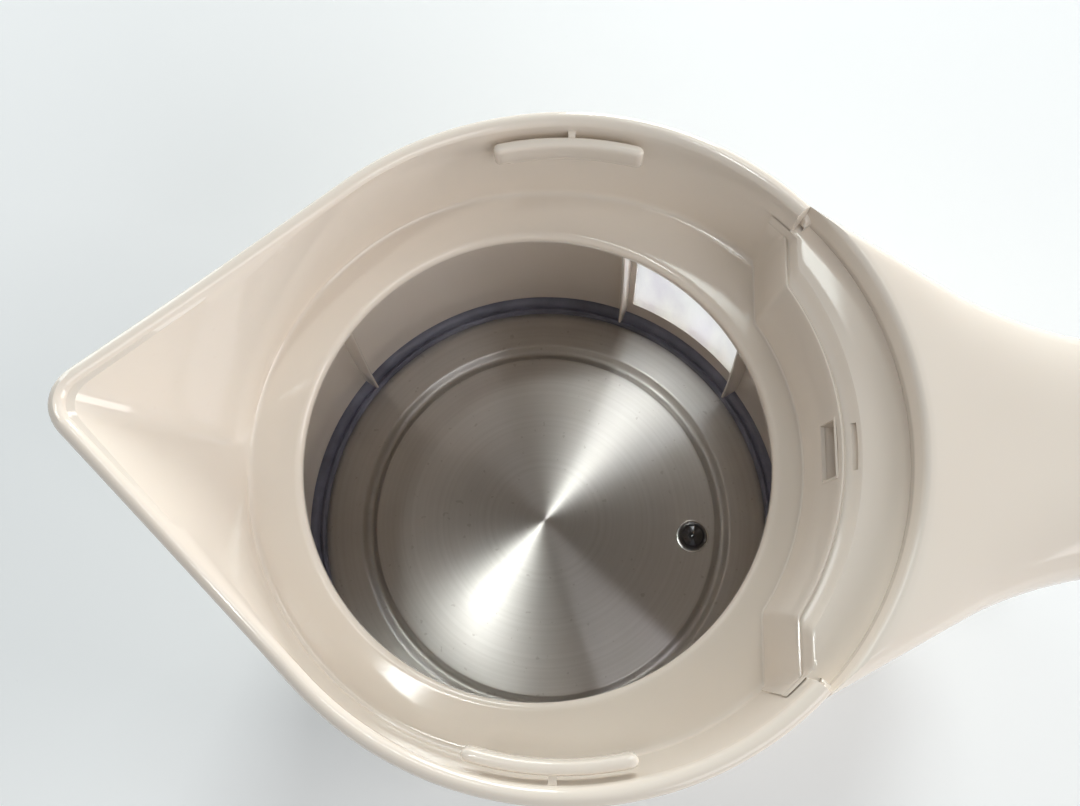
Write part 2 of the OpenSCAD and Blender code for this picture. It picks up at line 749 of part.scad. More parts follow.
wire_r = 0.6;
wire_y = housing_half - housing_wall - 1.2;
wire_z = housing_low + housing_wall + 1.6;
wire_port_y = port_y - 3.5;
function wire_path(s) = [
    [lamp_x, s * 6.2, lamp_z], [lamp_x, s * (wire_y - 1.5), lamp_z], [lamp_x, s * wire_y, lamp_z - 2],
    [lamp_x - 1, s * wire_y, wire_z + 2], [lamp_x - 3, s * wire_y, wire_z],
    [base_r + 14, s * wire_y, wire_z], [base_r + 6, s * wire_port_y, port_low + 3],
    [base_r - 8, s * wire_port_y, port_low + 3], [control_r + 5, s * wire_port_y, port_low + 6],
    [control_r - 0.5, s * wire_port_y, port_low + 8]];

// Row of six points round a wire, square to its way at a point of its path
function wire_row(path, i) =
    let (a = path[max(i - 1, 0)], b = path[min(i + 1, len(path) - 1)], d = (b - a) / norm(b - a),
         side = cross(d, abs(d[2]) > 0.9 ? [1, 0, 0] : [0, 0, 1]), u = side / norm(side), v = cross(d, u))
    [for (k = [0:5]) path[i] + wire_r * (cos(k * 60 + 30) * u + sin(k * 60 + 30) * v)];

module lamp_wires() {
    color([0.75, 0.72, 0.66])
    for (s = [-1, 1])
        strip_solid([for (i = [0:len(wire_path(s)) - 1]) wire_row(wire_path(s), i)]);
}

// ---- Water windows in the jug's wall ----

module water_window(side) {
    edge = 0.2;
    steps = 6;
    turn_at = [for (i = [0:steps]) mix(window_from + edge, window_to - edge, i / steps)];
    rise = [for (i = [0:window_steps]) mix(window_z0 + gap, window_z1 - gap, i / window_steps)];
    ways = side > 0 ? reverse(turn_at) : [for (a = turn_at) -a];
    color([0.90, 0.93, 0.95, 0.6])
    strip_solid([for (a = ways) concat([for (z = rise) spot(a, out_r(z), z)],
                                       [for (z = reverse(rise)) spot(a, chamber_r(z), z)])]);
}
module water_window_left() {
    water_window(1);
}
module water_window_right() {
    water_window(-1);
}

// ---- Heating plate and its seal ----

plate_r = lip_r - 1.5;
seal_in = lip_r - 3.4;
seal_low = plate_z - 3;
groove_slope = 0.9;
hole_r = dome_r - 0.7;
dome_x = dome_at * cos(dome_angle);
dome_y = dome_at * sin(dome_angle);

module heating_plate() {
    top = [[0, 0], [groove_in, 0], [groove_in + groove_slope, -groove_d],
           [groove_in + groove_w - groove_slope, -groove_d], [groove_in + groove_w, 0], [plate_r, 0]];
    color(steel)
    difference() {
        translate([0, 0, plate_z])
        rotate_extrude()
        polygon(concat(top, [for (p = reverse(top)) p - [0, plate_t]]));
        translate([dome_x, dome_y, plate_z - 5])
        cylinder(r = hole_r, h = 10);
    }
}

module plate_seal() {
    color(rubber)
    rotate_extrude()
    polygon([[seal_in, plate_z + 0.05], [seal_in, plate_z + 2.4], [seal_in + 1.4, lip_z - 1],
             [lip_r - 0.5, lip_z - gap], [seat_r - gap, lip_z - gap], [seat_r - gap, seal_low],
             [seal_in, seal_low], [seal_in, plate_z - plate_t - 0.05],
             [plate_r + 0.1, plate_z - plate_t - 0.05], [plate_r + 0.1, plate_z + 0.05]]);
}

// ---- Clamp ring with the posts for the base, and the split ring that keeps it ----

clamp_low = groove_z + gap;
clamp_in = seat_r - 10.5;
base_screw_at = seat_r - 7.5;
post_r = 3;
cover_low = 1;
cover_top = cover_low + cover_t;
screw_angles = [60, 180, 300];

module clamp_ring() {
    color([0.86, 0.86, 0.84])
    difference() {
        union() {
            translate([0, 0, clamp_low])
            difference() {
                cylinder(r = seat_r - gap, h = seal_low - gap - clamp_low);
                translate([0, 0, -1])
                cylinder(r = clamp_in, h = 20);
            }
            for (a = screw_angles)
                rotate([0, 0, a])
                translate([base_screw_at, 0, cover_top + gap])
                cylinder(r = post_r, h = clamp_low - cover_top + 1);
        }
        for (a = screw_angles)
            rotate([0, 0, a])
            translate([base_screw_at, 0, cover_top - 1])
            cylinder(r = screw_r + run_gap, h = 14);
    }
}

module retaining_ring() {
    color(steel)
    translate([0, 0, groove_z - ring_t])
    rotate([0, 0, 12])
    rotate_extrude(angle = 336)
    translate([seat_r - 3, 0])
    square([3 + ring_bite - gap, ring_t]);
}

// ---- Heater under the plate ----

spreader_r = groove_in - 2.5;
spreader_t = 3.5;
spreader_top = plate_z - plate_t - 0.05;
spreader_low = spreader_top - spreader_t;
control_low = socket_depth + 4;
control_top = spreader_low - 4.6;

module heat_spreader() {
    color([0.80, 0.81, 0.82])
    difference() {
        union() {
            translate([0, 0, spreader_low])
            cylinder(r = spreader_r, h = spreader_t);
            for (a = screw_angles)
                rotate([0, 0, a])
                translate([control_screw_at, 0, control_top + gap])
                cylinder(r = screw_r * 2, h = spreader_low - control_top);
        }
        for (a = screw_angles)
            rotate([0, 0, a])
            translate([control_screw_at, 0, control_top - 1])
            cylinder(r = screw_r + run_gap, h = 7);
        translate([dome_x, dome_y, spreader_low - 1])
        cylinder(r = hole_r + 4, h = spreader_t + 2);
    }
}

element_at = 32;
element_r = 3.3;
element_z = spreader_low - element_r - 0.1;
tail_angle = 22;
tail_low = control_low + 7;

module heating_element() {
    color([0.62, 0.60, 0.58])
    translate([0, 0, element_z]) {
        rotate([0, 0, tail_angle - 7])
        rotate_extrude(angle = 360 - 2 * (tail_angle - 7))
        translate([element_at, 0])
        circle(element_r);
        for (s = [-1, 1])
            rotate([0, 0, s * tail_angle])
            translate([element_at, 0, tail_low - element_z])
            cylinder(r = 2.4, h = element_z - tail_low);
    }
}

module element_tabs() {
    color(brass)
    for (s = [-1, 1])
        rotate([0, 0, s * tail_angle])
        translate([element_at - 0.4, -3.1, tail_low - 8.1])
        cube([0.8, 6.2, 8]);
}

module sensor_dome() {
    color([0.12, 0.12, 0.13])
    translate([dome_x, dome_y, plate_z]) {
        difference() {
            translate([0, 0, 0.1])
            sphere(dome_r);
            translate([0, 0, -dome_r + 0.1])
            cylinder(r = dome_r + 1, h = dome_r);
        }
        translate([0, 0, -8.5])
        cylinder(r = hole_r - 0.8, h = 9);
    }
}

module sensor_seal() {
    color(rubber)
    translate([dome_x, dome_y, plate_z])
    rotate_extrude()
    polygon([[hole_r - 0.75, 0.05], [hole_r - 0.05, 0.05], [hole_r - 0.05, -plate_t - 0.05],
             [hole_r + 2.2, -plate_t - 0.05], [hole_r + 2.2, -plate_t - 1.6],
             [hole_r - 0.75, -plate_t - 1.6]]);
}

module sensor_nut() {
    color(steel)
    translate([dome_x, dome_y, plate_z - plate_t - 4.4])
    difference() {
        cylinder(r = hole_r + 1.4, h = 2.7, $fn = 6);
        translate([0, 0, -1])
        cylinder(r = hole_r - 0.75, h = 5);
    }
}

// ---- Boiler control and cordless connector ----

module control_module() {
    color([0.16, 0.16, 0.17])
    difference() {
        translate([0, 0, control_low + 0.1])
        cylinder(r = control_r, h = control_top - control_low - 0.1);
        for (a = screw_angles)
            rotate([0, 0, a])
            translate([control_screw_at, 0, control_low - 1])
            cylinder(r = screw_r + gap, h = control_top - control_low + 2);
        // Slot for the trip rod
        translate([control_r - 11, -3, rod_z - rod_half_h - free_gap])
        cube([12, 6, 2 * (rod_half_h + free_gap)]);
        // Wire holes
        for (s = [-1, 1])
            translate([control_r - 6, s * wire_port_y, port_low + 8])
            rotate([0, 90, 0])
            cylinder(r = wire_r + 0.5, h = 10);
    }
}

module control_screws() {
    color(steel)
    for (a = screw_angles)
        rotate([0, 0, a])
        translate([control_screw_at, 0, control_low - 1.7])
        screw(control_top - control_low + 5, screw_r * 1.7, 1.7);
}

module bimetal_discs() {
    color(brass)
    for (s = [-1, 1])
        translate([0, s * 9, control_top + 0.1]) {
            cylinder(r = 6, h = 0.6);
            translate([0, 0, 0.5])
            cylinder(r = 1.2, h = spreader_low - control_top - 0.8);
        }
}

contact_rings = [[2.2, 3.4], [8, 9.4], [11, 12.2]];

module connector_socket() {
    outer = socket_r + socket_wall;
    color([0.14, 0.14, 0.15])
    difference() {
        cylinder(r = outer, h = control_low);
        translate([0, 0, -1])
        cylinder(r = socket_r, h = socket_depth + 1);
        for (c = contact_rings)
            translate([0, 0, socket_depth - 1])
            difference() {
                cylinder(r = c[1] + 0.1, h = 4.5);
                translate([0, 0, -1])
                cylinder(r = c[0] - 0.1, h = 7);
            }
    }
}

module connector_contacts() {
    color(brass)
    for (c = contact_rings)
        translate([0, 0, socket_depth + 0.2])
        difference() {
            cylinder(r = c[1], h = 3.2);
            translate([0, 0, -1])
            cylinder(r = c[0], h = 6);
        }
}

// ---- Base cover ----

module base_cover() {
    hole = socket_r + socket_wall + gap;
    rim = base_r - 0.8;
    spigot = seat_r - gap;
    foot = foot_gap - gap;
    color(cream)
    difference() {
        rotate_extrude()
        polygon([[hole, 0], [hole + 2.6, 0], [hole + 2.6, cover_low],
                 [seat_r - 4, cover_low], [seat_r - 4, 0], [rim - 1.4, 0], [rim, 1.2],
                 [rim, foot], [spigot, foot], [spigot, cover_top + 2],
                 [spigot - 2, cover_top + 2], [spigot - 2, cover_top], [hole + 2.6, cover_top],
                 [hole + 2.6, cover_top + 2.4], [hole, cover_top + 2.4]]);
        for (a = screw_angles)
            rotate([0, 0, a])
            translate([base_screw_at, 0, 0]) {
                cylinder(r = screw_r + gap, h = 20);
                cylinder(r = screw_r * 1.8 + gap, h = cover_low + 1.5);
            }
    }
}

module base_screws() {
    color(steel)
    for (a = screw_angles)
        rotate([0, 0, a])
        translate([base_screw_at, 0, cover_low])
        screw(11, screw_r * 1.8, 1.4);
}

body_shell();
steam_guide();
handle_shell();
handle_inner();
switch_housing();
water_window_left();
water_window_right();
heating_plate();
plate_seal();
clamp_ring();
retaining_ring();
heat_spreader();
heating_element();
element_tabs();
sensor_dome();
sensor_seal();
sensor_nut();
control_module();
control_screws();
bimetal_discs();
connector_socket();
connector_contacts();
base_cover();
base_screws();
steam_tube();
steam_switch();
steam_disc();
switch_lever();
lever_pin();
toggle_spring();
trip_rod();
pilot_lens();
pilot_lamp();
lamp_wires();
handle_screws();
housing_screws();
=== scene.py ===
import math
import bmesh
import bpy
import numpy as np
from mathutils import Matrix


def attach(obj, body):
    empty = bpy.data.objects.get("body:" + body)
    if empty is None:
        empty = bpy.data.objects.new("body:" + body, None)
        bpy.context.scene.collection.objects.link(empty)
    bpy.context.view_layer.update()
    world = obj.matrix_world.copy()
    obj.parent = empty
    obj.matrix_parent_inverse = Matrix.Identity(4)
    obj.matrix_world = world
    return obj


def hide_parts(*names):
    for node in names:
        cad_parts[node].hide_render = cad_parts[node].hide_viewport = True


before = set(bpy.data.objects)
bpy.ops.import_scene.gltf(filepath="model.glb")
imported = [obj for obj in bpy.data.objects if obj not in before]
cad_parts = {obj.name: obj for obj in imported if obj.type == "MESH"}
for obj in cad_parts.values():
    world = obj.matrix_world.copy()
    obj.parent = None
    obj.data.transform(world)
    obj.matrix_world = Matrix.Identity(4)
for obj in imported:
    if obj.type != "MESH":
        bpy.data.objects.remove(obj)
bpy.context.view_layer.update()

# ---- Camera ----
# The view is nearly straight down into the open jug, from a little in front of it, as someone
# sees it who holds a hand camera over the kettle on a table.
camera = bpy.data.objects.new("camera", bpy.data.cameras.new("camera"))
bpy.context.scene.collection.objects.link(camera)
camera.data.lens = 30.667
camera.data.sensor_width = 36
camera.data.clip_start = 0.01
camera.location = (0.00595, -0.03424, 0.29798)
camera.rotation_euler = [math.radians(turn) for turn in (14.813, 1.359, 2.059)]
bpy.context.scene.camera = camera


# ---- Table and studio light ----
# A plain white table top in a dim room. Daylight comes from windows at the far side, the
# handle's side and the far left and through a narrow roof window. A soft lamp stands at the
# near right, and a tube lamp hangs overhead.
def tone(red, green, blue):
    """A colour from 0 to 255 as the renderer's linear colour."""
    parts = [part / 255 for part in (red, green, blue)]
    return tuple(p / 12.92 if p <= 0.04045 else ((p + 0.055) / 1.055) ** 2.4 for p in parts) + (1.0,)


def effect_group(name, inputs):
    """A shader node group that puts out a Mask and a Height, with its own named inputs."""
    group = bpy.data.node_groups.new(name, "ShaderNodeTree")
    for socket, value in inputs.items():
        entry = group.interface.new_socket(socket, in_out="INPUT", socket_type="NodeSocketFloat")
        entry.default_value = value
    for socket in ("Mask", "Height"):
        group.interface.new_socket(socket, in_out="OUTPUT", socket_type="NodeSocketFloat")
    start = group.nodes.new("NodeGroupInput")
    end = group.nodes.new("NodeGroupOutput")
    return group, start, end


def node(tree, kind, links=(), **settings):
    """A node with its settings. links are (input, socket that feeds it)."""
    made = tree.nodes.new(kind)
    for key, value in settings.items():
        setattr(made, key, value)
    for socket, value in links:
        if isinstance(value, bpy.types.NodeSocket):
            tree.links.new(value, made.inputs[socket])
        else:
            made.inputs[socket].default_value = value
    return made


def spots(tree, size, detail=2.0, where=None):
    """Noise over the object's own coordinates, as a value from 0 to 1."""
    if where is None:
        where = node(tree, "ShaderNodeTexCoord").outputs["Object"]
    noise = node(tree, "ShaderNodeTexNoise", [("Vector", where), ("Scale", size), ("Detail", detail)])
    return noise.outputs["Fac"]


def ramp(tree, value, low, high):
    """value stretched so that low becomes 0 and high becomes 1."""
    return node(tree, "ShaderNodeMapRange",
                [("Value", value), ("From Min", low), ("From Max", high)], clamp=True).outputs["Result"]


def maths(tree, what, first, second=0.0):
    """One step of arithmetic on two values or sockets."""
    return node(tree, "ShaderNodeMath", [(0, first), (1, second)], operation=what).outputs[0]


def finish(name, light, dark, rough, effect, sizes=(), bump=0.0, depth=0.0001, **plain):
    """A material whose effect mixes two colours and two roughnesses and raises its bump."""
    made = bpy.data.materials.new(name)
    made.use_nodes = True
    tree = made.node_tree
    shader = tree.nodes["Principled BSDF"]
    group = node(tree, "ShaderNodeGroup", node_tree=effect)
    for socket, value in dict(sizes).items():
        group.inputs[socket].default_value = value
    mask = group.outputs["Mask"]
    colours = node(tree, "ShaderNodeMix", [("Factor", mask), (6, tone(*light)), (7, tone(*dark))],
                   data_type="RGBA")
    tree.links.new(colours.outputs[2], shader.inputs["Base Color"])
    gloss = node(tree, "ShaderNodeMapRange", [("Value", mask), ("To Min", rough[0]), ("To Max", rough[1])])
    tree.links.new(gloss.outputs["Result"], shader.inputs["Roughness"])
    if bump:
        raised = node(tree, "ShaderNodeBump",
                      [("Height", group.outputs["Height"]), ("Strength", bump), ("Distance", depth)])
        tree.links.new(raised.outputs["Normal"], shader.inputs["Normal"])
    for socket, value in plain.items():
        shader.inputs[socket.replace("_", " ")].default_value = value
    return made


# Moulded or painted surfaces: slow flow marks with a few specks of dust, over a fine orange peel
moulded, start, end = effect_group("moulded", {"Flow size": 18.0, "Peel size": 900.0, "Dust": 0.25})
flow = ramp(moulded, spots(moulded, start.outputs["Flow size"], 3.0), 0.35, 0.75)
specks = ramp(moulded, spots(moulded, 700.0, 1.0), 0.73, 0.78)
dusty = maths(moulded, "MULTIPLY", specks, start.outputs["Dust"])
moulded.links.new(maths(moulded, "MAXIMUM", maths(moulded, "MULTIPLY", flow, 0.6), dusty), end.inputs["Mask"])
moulded.links.new(spots(moulded, start.outputs["Peel size"], 2.0), end.inputs["Height"])

bpy.ops.mesh.primitive_grid_add(x_subdivisions=8, y_subdivisions=8, size=4)
table = bpy.context.object
table.name = "table"
table.data.materials.append(finish("table_top", (250, 252, 253), (242, 244, 246), (0.45, 0.6), moulded,
                                   {"Flow size": 3.0, "Dust": 0.5}))

world = bpy.data.worlds.new("room")
bpy.context.scene.world = world
world.use_nodes = True
room = world.node_tree
towards = node(room, "ShaderNodeTexCoord").outputs["Generated"]
apart = node(room, "ShaderNodeSeparateXYZ", [(0, towards)])
overhead = ramp(room, apart.outputs["Z"], 0.60, 0.97)
pale_wall, dim_ceiling = (0.93, 0.97, 1.0, 1), (0.25, 0.225, 0.20, 1)
room_colour = node(room, "ShaderNodeMix", [("Factor", overhead), (6, pale_wall), (7, dim_ceiling)],
                   data_type="RGBA")
room.links.new(room_colour.outputs[2], room.nodes["Background"].inputs["Color"])
room.nodes["Background"].inputs["Strength"].default_value = 0.36


def softbox(name, turn, lean, away, wide, high, power, colour=(1, 1, 1)):
    """A rectangular lamp. turn is its direction from the jug, lean its angle from straight up."""
    lamp = bpy.data.objects.new(name, bpy.data.lights.new(name, "AREA"))
    bpy.context.scene.collection.objects.link(lamp)
    lamp.data.shape = "RECTANGLE"
    lamp.data.size, lamp.data.size_y = wide, high
    lamp.data.energy, lamp.data.color = power, colour
    turn, lean = math.radians(turn), math.radians(lean)
    lamp.location = (away * math.sin(lean) * math.cos(turn), away * math.sin(lean) * math.sin(turn),
                     0.1 + away * math.cos(lean))
    lamp.rotation_euler = (0, lean, turn)
    return lamp


softbox("far_window", 80, 78, 1.6, 1.0, 0.6, 20.0, (0.95, 1.0, 0.99))
softbox("roof_window", 68, 27, 1.4, 0.15, 0.38, 1.7, (0.92, 1.0, 0.98))
softbox("side_window", 0, 75, 1.6, 1.0, 0.6, 12.0, (1.0, 0.96, 0.93))
softbox("left_window", 140, 78, 1.6, 1.0, 0.6, 6.5, (0.95, 1.0, 1.0))
softbox("room_lamp", 312, 50, 1.5, 0.8, 0.8, 5.8)
tube = softbox("ceiling_lamp", 190, 8, 1.4, 0.36, 0.06, 1.6, (0.95, 1.0, 1.0))
tube.rotation_euler = (0, 0, math.radians(48))
bpy.context.scene.view_settings.view_transform = "Standard"


# ---- Jug body with its neck, spout, ledge and rim ----
# One injection moulding in glossy cream polypropylene: a tapered round jug, an inward ledge
# round the mouth, and a neck that is drawn out into the spout. Two water windows are cut in it.
jug_foot, jug_wall, foot_gap, ledge_z, mouth_r, ledge_t = 69.2, 2.7, 3.0, 130.0, 44.0, 3.0
neck_in, neck_out, rim_h, rim_r, rim_wall, rim_shift = 53.8, 56.5, 25.0, 57.0, 2.8, 5.0
tip_rise, spout_reach, tip_r, spout_low = 8.0, 75.0, 7.0, 126.0
lip_r, lip_z, seat_r = 65.0, 44.0, 66.5
window_from, window_to, window_z0, window_z1 = 38.0, 69.0, 53.0, 118.0
window_steps = 13
rim_z, ledge_under = ledge_z + rim_h, ledge_z - ledge_t
notch_half, rear_top, edge_r = 40.6, 17.2, 1.2
notch_edges = [notch_half - 0.1, notch_half + 0.1]
cream_light, cream_dark = (238, 228, 216), (231, 218, 205)


def mix(a, b, t):
    """A value between a and b, at share t of the way."""
    return a + (b - a) * t


def ease(t):
    """A smooth step from 0 to 1."""
    t = min(1.0, max(0.0, t))
    return t * t * (3 - 2 * t)


def wrap_r(a, big_x, big, tip_x, tip):
    """Distance from the axis to the outline that wraps a big circle and a small one beyond it."""
    ux, uy = math.cos(math.radians(a)), abs(math.sin(math.radians(a)))
    lean = math.acos(min(1.0, (big - tip) / max(big_x - tip_x, big - tip)))
    nx, ny = -math.cos(lean), math.sin(lean)
    here = math.atan2(uy, ux)
    if here <= math.atan2(big * ny, big_x + big * nx):
        return big_x * ux + math.sqrt((big_x * ux) ** 2 - big_x ** 2 + big ** 2)
    if here >= math.atan2(tip * ny, tip_x + tip * nx):
        return tip_x * ux + math.sqrt(max(0.0, (tip_x * ux) ** 2 - tip_x ** 2 + tip ** 2))
    return (big_x * nx + big) / (ux * nx + uy * ny)


def jug_out(z):
    """Outer radius of the jug below the ledge."""
    rise = min(1.0, max(0.0, (z - lip_z) / (ledge_z - lip_z)))
    return jug_foot - (jug_foot - neck_out) * rise ** 1.25


def chamber_in(z):
    """Inner radius of the water chamber."""
    rise = min(1.0, max(0.0, (z - lip_z) / (ledge_under - lip_z)))
    return mix(lip_r, neck_out - jug_wall, rise ** 1.25)


def shift_at(a, u):
    """How far the neck's middle has moved to the handle at an angle and a height."""
    side = (1 - ease((abs(a) - 60) / 50)) * ease((u - window_z1) / (ledge_z - 4 - window_z1))
    return rim_shift * max(min(1.0, max(0.0, (u - ledge_z) / rim_h)), side)


def neck_outside(a, u):
    """Outer distance from the axis at an angle, in the neck and its spout. u is the height."""
    up = min(1.0, max(0.0, (u - ledge_z) / rim_h))
    round_r = jug_out(u) if u < ledge_z else mix(neck_out, rim_r, up)
    shift = shift_at(a, u)
    beak = min(1.0, max(0.0, (u - spout_low) / (rim_z - spout_low)))
    tip_x = mix(shift - round_r + tip_r, tip_r - spout_reach, beak ** 1.1)
    return wrap_r(a, shift, round_r, tip_x, tip_r)


def neck_inside(a, u):
    """Inner distance from the axis at an angle, in the neck and its spout."""
    up = min(1.0, max(0.0, (u - ledge_z) / rim_h))
    round_r = mix(neck_in, rim_r - rim_wall, up)
    shift, small = shift_at(a, u), tip_r - rim_wall
    tip_x = mix(shift - round_r + small, tip_r - spout_reach, up)
    return wrap_r(a, shift, round_r, tip_x, small)


def rim_top(a):
    """Height of the rim at an angle. It climbs towards the spout's tip."""
    x = math.cos(math.radians(a)) * wrap_r(a, rim_shift, rim_r, tip_r - spout_reach, tip_r)
    return rim_z + tip_rise * min(1.0, max(0.0, (-x - rim_shift) / (spout_reach - rim_shift))) ** 1.6


def skin(name, grid, around=True, loop=True, gaps=(), ends=False):
    """A piece from rows of points in millimetres. around joins the last row to the first and
    loop the last column to the first, gaps are cells left open, ends closes both end rows."""
    grid = np.asarray(grid, float)
    rows, cols = grid.shape[:2]
    faces = []
    for i in range(rows if around else rows - 1):
        for j in range(cols if loop else cols - 1):
            here, over = i * cols, (i + 1) % rows * cols
            if (i, j) not in gaps:
                faces.append((here + j, here + (j + 1) % cols, over + (j + 1) % cols, over + j))
    if ends:
        faces += [tuple(range(cols)), tuple((rows - 1) * cols + j for j in range(cols))]
    mesh = bpy.data.meshes.new(name)
    mesh.from_pydata((grid.reshape(-1, 3) / 1000).tolist(), [], faces)
    piece = bpy.data.objects.new(name, mesh)
    bpy.context.scene.collection.objects.link(piece)
    tidy_normals(mesh)
    return piece


def tidy_normals(mesh):
    """Joins points that coincide and turns all faces outwards."""
    shape = bmesh.new()
    shape.from_mesh(mesh)
    bmesh.ops.remove_doubles(shape, verts=shape.verts, dist=1e-7)
    bmesh.ops.recalc_face_normals(shape, faces=shape.faces)
    shape.to_mesh(mesh)
    shape.free()


def dress(piece, material, body="jug", crease=35.0, stands_for=()):
    """Gives a piece its material, its shading and its body, and hides the CAD nodes that it stands for."""
    piece.data.materials.clear()
    piece.data.materials.append(material)
    piece.data.shade_smooth()
    piece.data.set_sharp_from_angle(angle=math.radians(crease))
    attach(piece, body)
    if stands_for:
        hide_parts(*stands_for)
    return piece


def polar(a, r, z):
    """A point at an angle, a distance from the axis and a height."""
    return (r * math.cos(math.radians(a)), r * math.sin(math.radians(a)), z)


cream = finish("cream_plastic", cream_light, cream_dark, (0.07, 0.14), moulded, {"Dust": 0.3},
               bump=0.05, depth=0.00004, IOR=1.49,
               Subsurface_Weight=0.05, Subsurface_Radius=(0.004, 0.003, 0.002))

below_window = [(jug_foot - 0.6, foot_gap), (jug_foot, foot_gap + 0.6), (jug_foot, 14), (jug_foot, 30),
                (jug_foot, lip_z)]
below_chamber = [(chamber_in(49), 49), (lip_r, lip_z), (seat_r, lip_z), (seat_r, 24), (seat_r, 10),
                 (seat_r, foot_gap)]
window_rows = np.linspace(window_z0, window_z1, window_steps + 1)
outside_rows = [120, 123, 126, 128, 130, 133, 137, 141, 145, 149, 152, 153.7]
inside_rows = [153.7, 152, 149, 145, 141, 137, 134, 132, 131.2]


def jug_section(a):
    """The wall's section at an angle, up the outside, over the rim and down the inside."""
    cut = rear_top / rim_h if abs(a) < notch_half else 1.0
    top = rim_top(a)

    def lift(u):
        return u if u <= ledge_z else ledge_z + (u - ledge_z) * (top - ledge_z) / rim_h * cut

    line = below_window + [(jug_out(z), z) for z in window_rows]
    line += [(neck_outside(a, u), lift(u)) for u in outside_rows]
    outer, inner = neck_outside(a, rim_z), neck_inside(a, rim_z)
    for turn in (15, 35, 60, 90, 120, 145, 165):
        along, up = math.cos(math.radians(turn)), math.sin(math.radians(turn))
        line.append(((outer + inner) / 2 + (outer - inner) / 2 * along, lift(rim_z - 1.3 + 1.3 * up)))
    line += [(neck_inside(a, u), lift(u)) for u in inside_rows]
    foot = neck_inside(a, ledge_z)
    line += [(foot - 0.12, ledge_z + 0.5 * cut), (foot - 0.4, ledge_z + 0.15 * cut), (foot - 0.9, ledge_z)]
    line += [(mix(foot, mouth_r, t), ledge_z) for t in (0.15, 0.5, 0.85)]
    line += [(mouth_r + edge_r - edge_r * math.sin(t), ledge_z - edge_r + edge_r * math.cos(t))
             for t in np.radians((0, 20, 45, 70, 90))]
    line += [(mouth_r, ledge_z - 2.2), (mouth_r + 0.3, ledge_under + 0.2), (mouth_r + 0.9, ledge_under)]
    line += [(49, ledge_under), (chamber_in(ledge_under) - 0.8, ledge_under)]
    line += [(chamber_in(z), z) for z in (ledge_under - 1, ledge_under - 5)]
    line += [(chamber_in(z), z) for z in window_rows[::-1]]
    line += below_chamber
    return [polar(a, r, z) for r, z in line]


half = np.concatenate([np.linspace(0, window_from, 14), np.linspace(window_from, window_to, 22),
                       np.linspace(window_to, 140, 38), np.linspace(140, 170, 26),
                       np.linspace(170, 180, 16), notch_edges])
half = np.unique(np.round(half, 4))
jug_turns = np.concatenate([half, -half[-2:0:-1]])
sections = [jug_section(a) for a in jug_turns]
outer_from = len(below_window)
inner_from = len(sections[0]) - len(below_chamber) - len(window_rows)
window_cells = set()
for i, a in enumerate(jug_turns):
    sides = abs(a), abs(jug_turns[(i + 1) % len(jug_turns)])
    if min(sides) >= window_from - 0.01 and max(sides) <= window_to + 0.01:
        window_cells |= {(i, first + j) for first in (outer_from, inner_from) for j in range(window_steps)}
jug = skin("jug", sections, gaps=window_cells)
shape = bmesh.new()
shape.from_mesh(jug.data)
for side in (-1, 1):
    rims = [e for e in shape.edges if e.is_boundary and side * e.verts[0].co.y > 0]
    bmesh.ops.bridge_loops(shape, edges=rims)
bmesh.ops.recalc_face_normals(shape, faces=shape.faces)
shape.to_mesh(jug.data)
shape.free()
dress(jug, cream, stands_for=["body_shell"])


# ---- Fins and lid lugs ----
# Thin fins moulded down the chamber's wall, which stiffen the ledge, and two lugs that stand
# off the neck's wall on one rib each. The lid's catches turn in under the lugs.
fin_in, fin_half, fin_low, fin_straight = 4.5, 0.6, 45.0, 117.0
for number, a in enumerate([36, 71, 144, -36, -71, -144]):
    heights = [fin_low, fin_low + 0.5, 60, 80, 100, fin_straight, 124, ledge_under + 0.2]
    inner = [chamber_in(min(z, fin_straight)) - fin_in for z in heights]
    inner[0] += 0.5
    rows = []
    for z, r in zip(heights, inner):
        back = chamber_in(min(z, ledge_under - 1)) + 0.8
        shares = [(back, -1.3), (back - 1.4, -1.0), (r + 0.4, -0.8), (r, -0.35)]
        ring = [(x, share * fin_half) for x, share in shares]
        ring += [(x, -y) for x, y in ring[::-1]]
        ca, sa = math.cos(math.radians(a)), math.sin(math.radians(a))
        rows.append([(x * ca - y * sa, x * sa + y * ca, z) for x, y in ring])
    fin = skin(f"chamber_fin_{number + 1}", rows, around=False, ends=True)
    dress(fin, cream)

lug_top, lug_h, lug_t, lug_off, lug_len = 153.0, 5.0, 2.2, 1.2, 28.0
lug_end = 0.09


def squared(t, power):
    """Cosine and sine of an angle, drawn out to a square's corners. A lower power is squarer."""
    return [math.copysign(abs(value) ** power, value) for value in (math.cos(t), math.sin(t))]


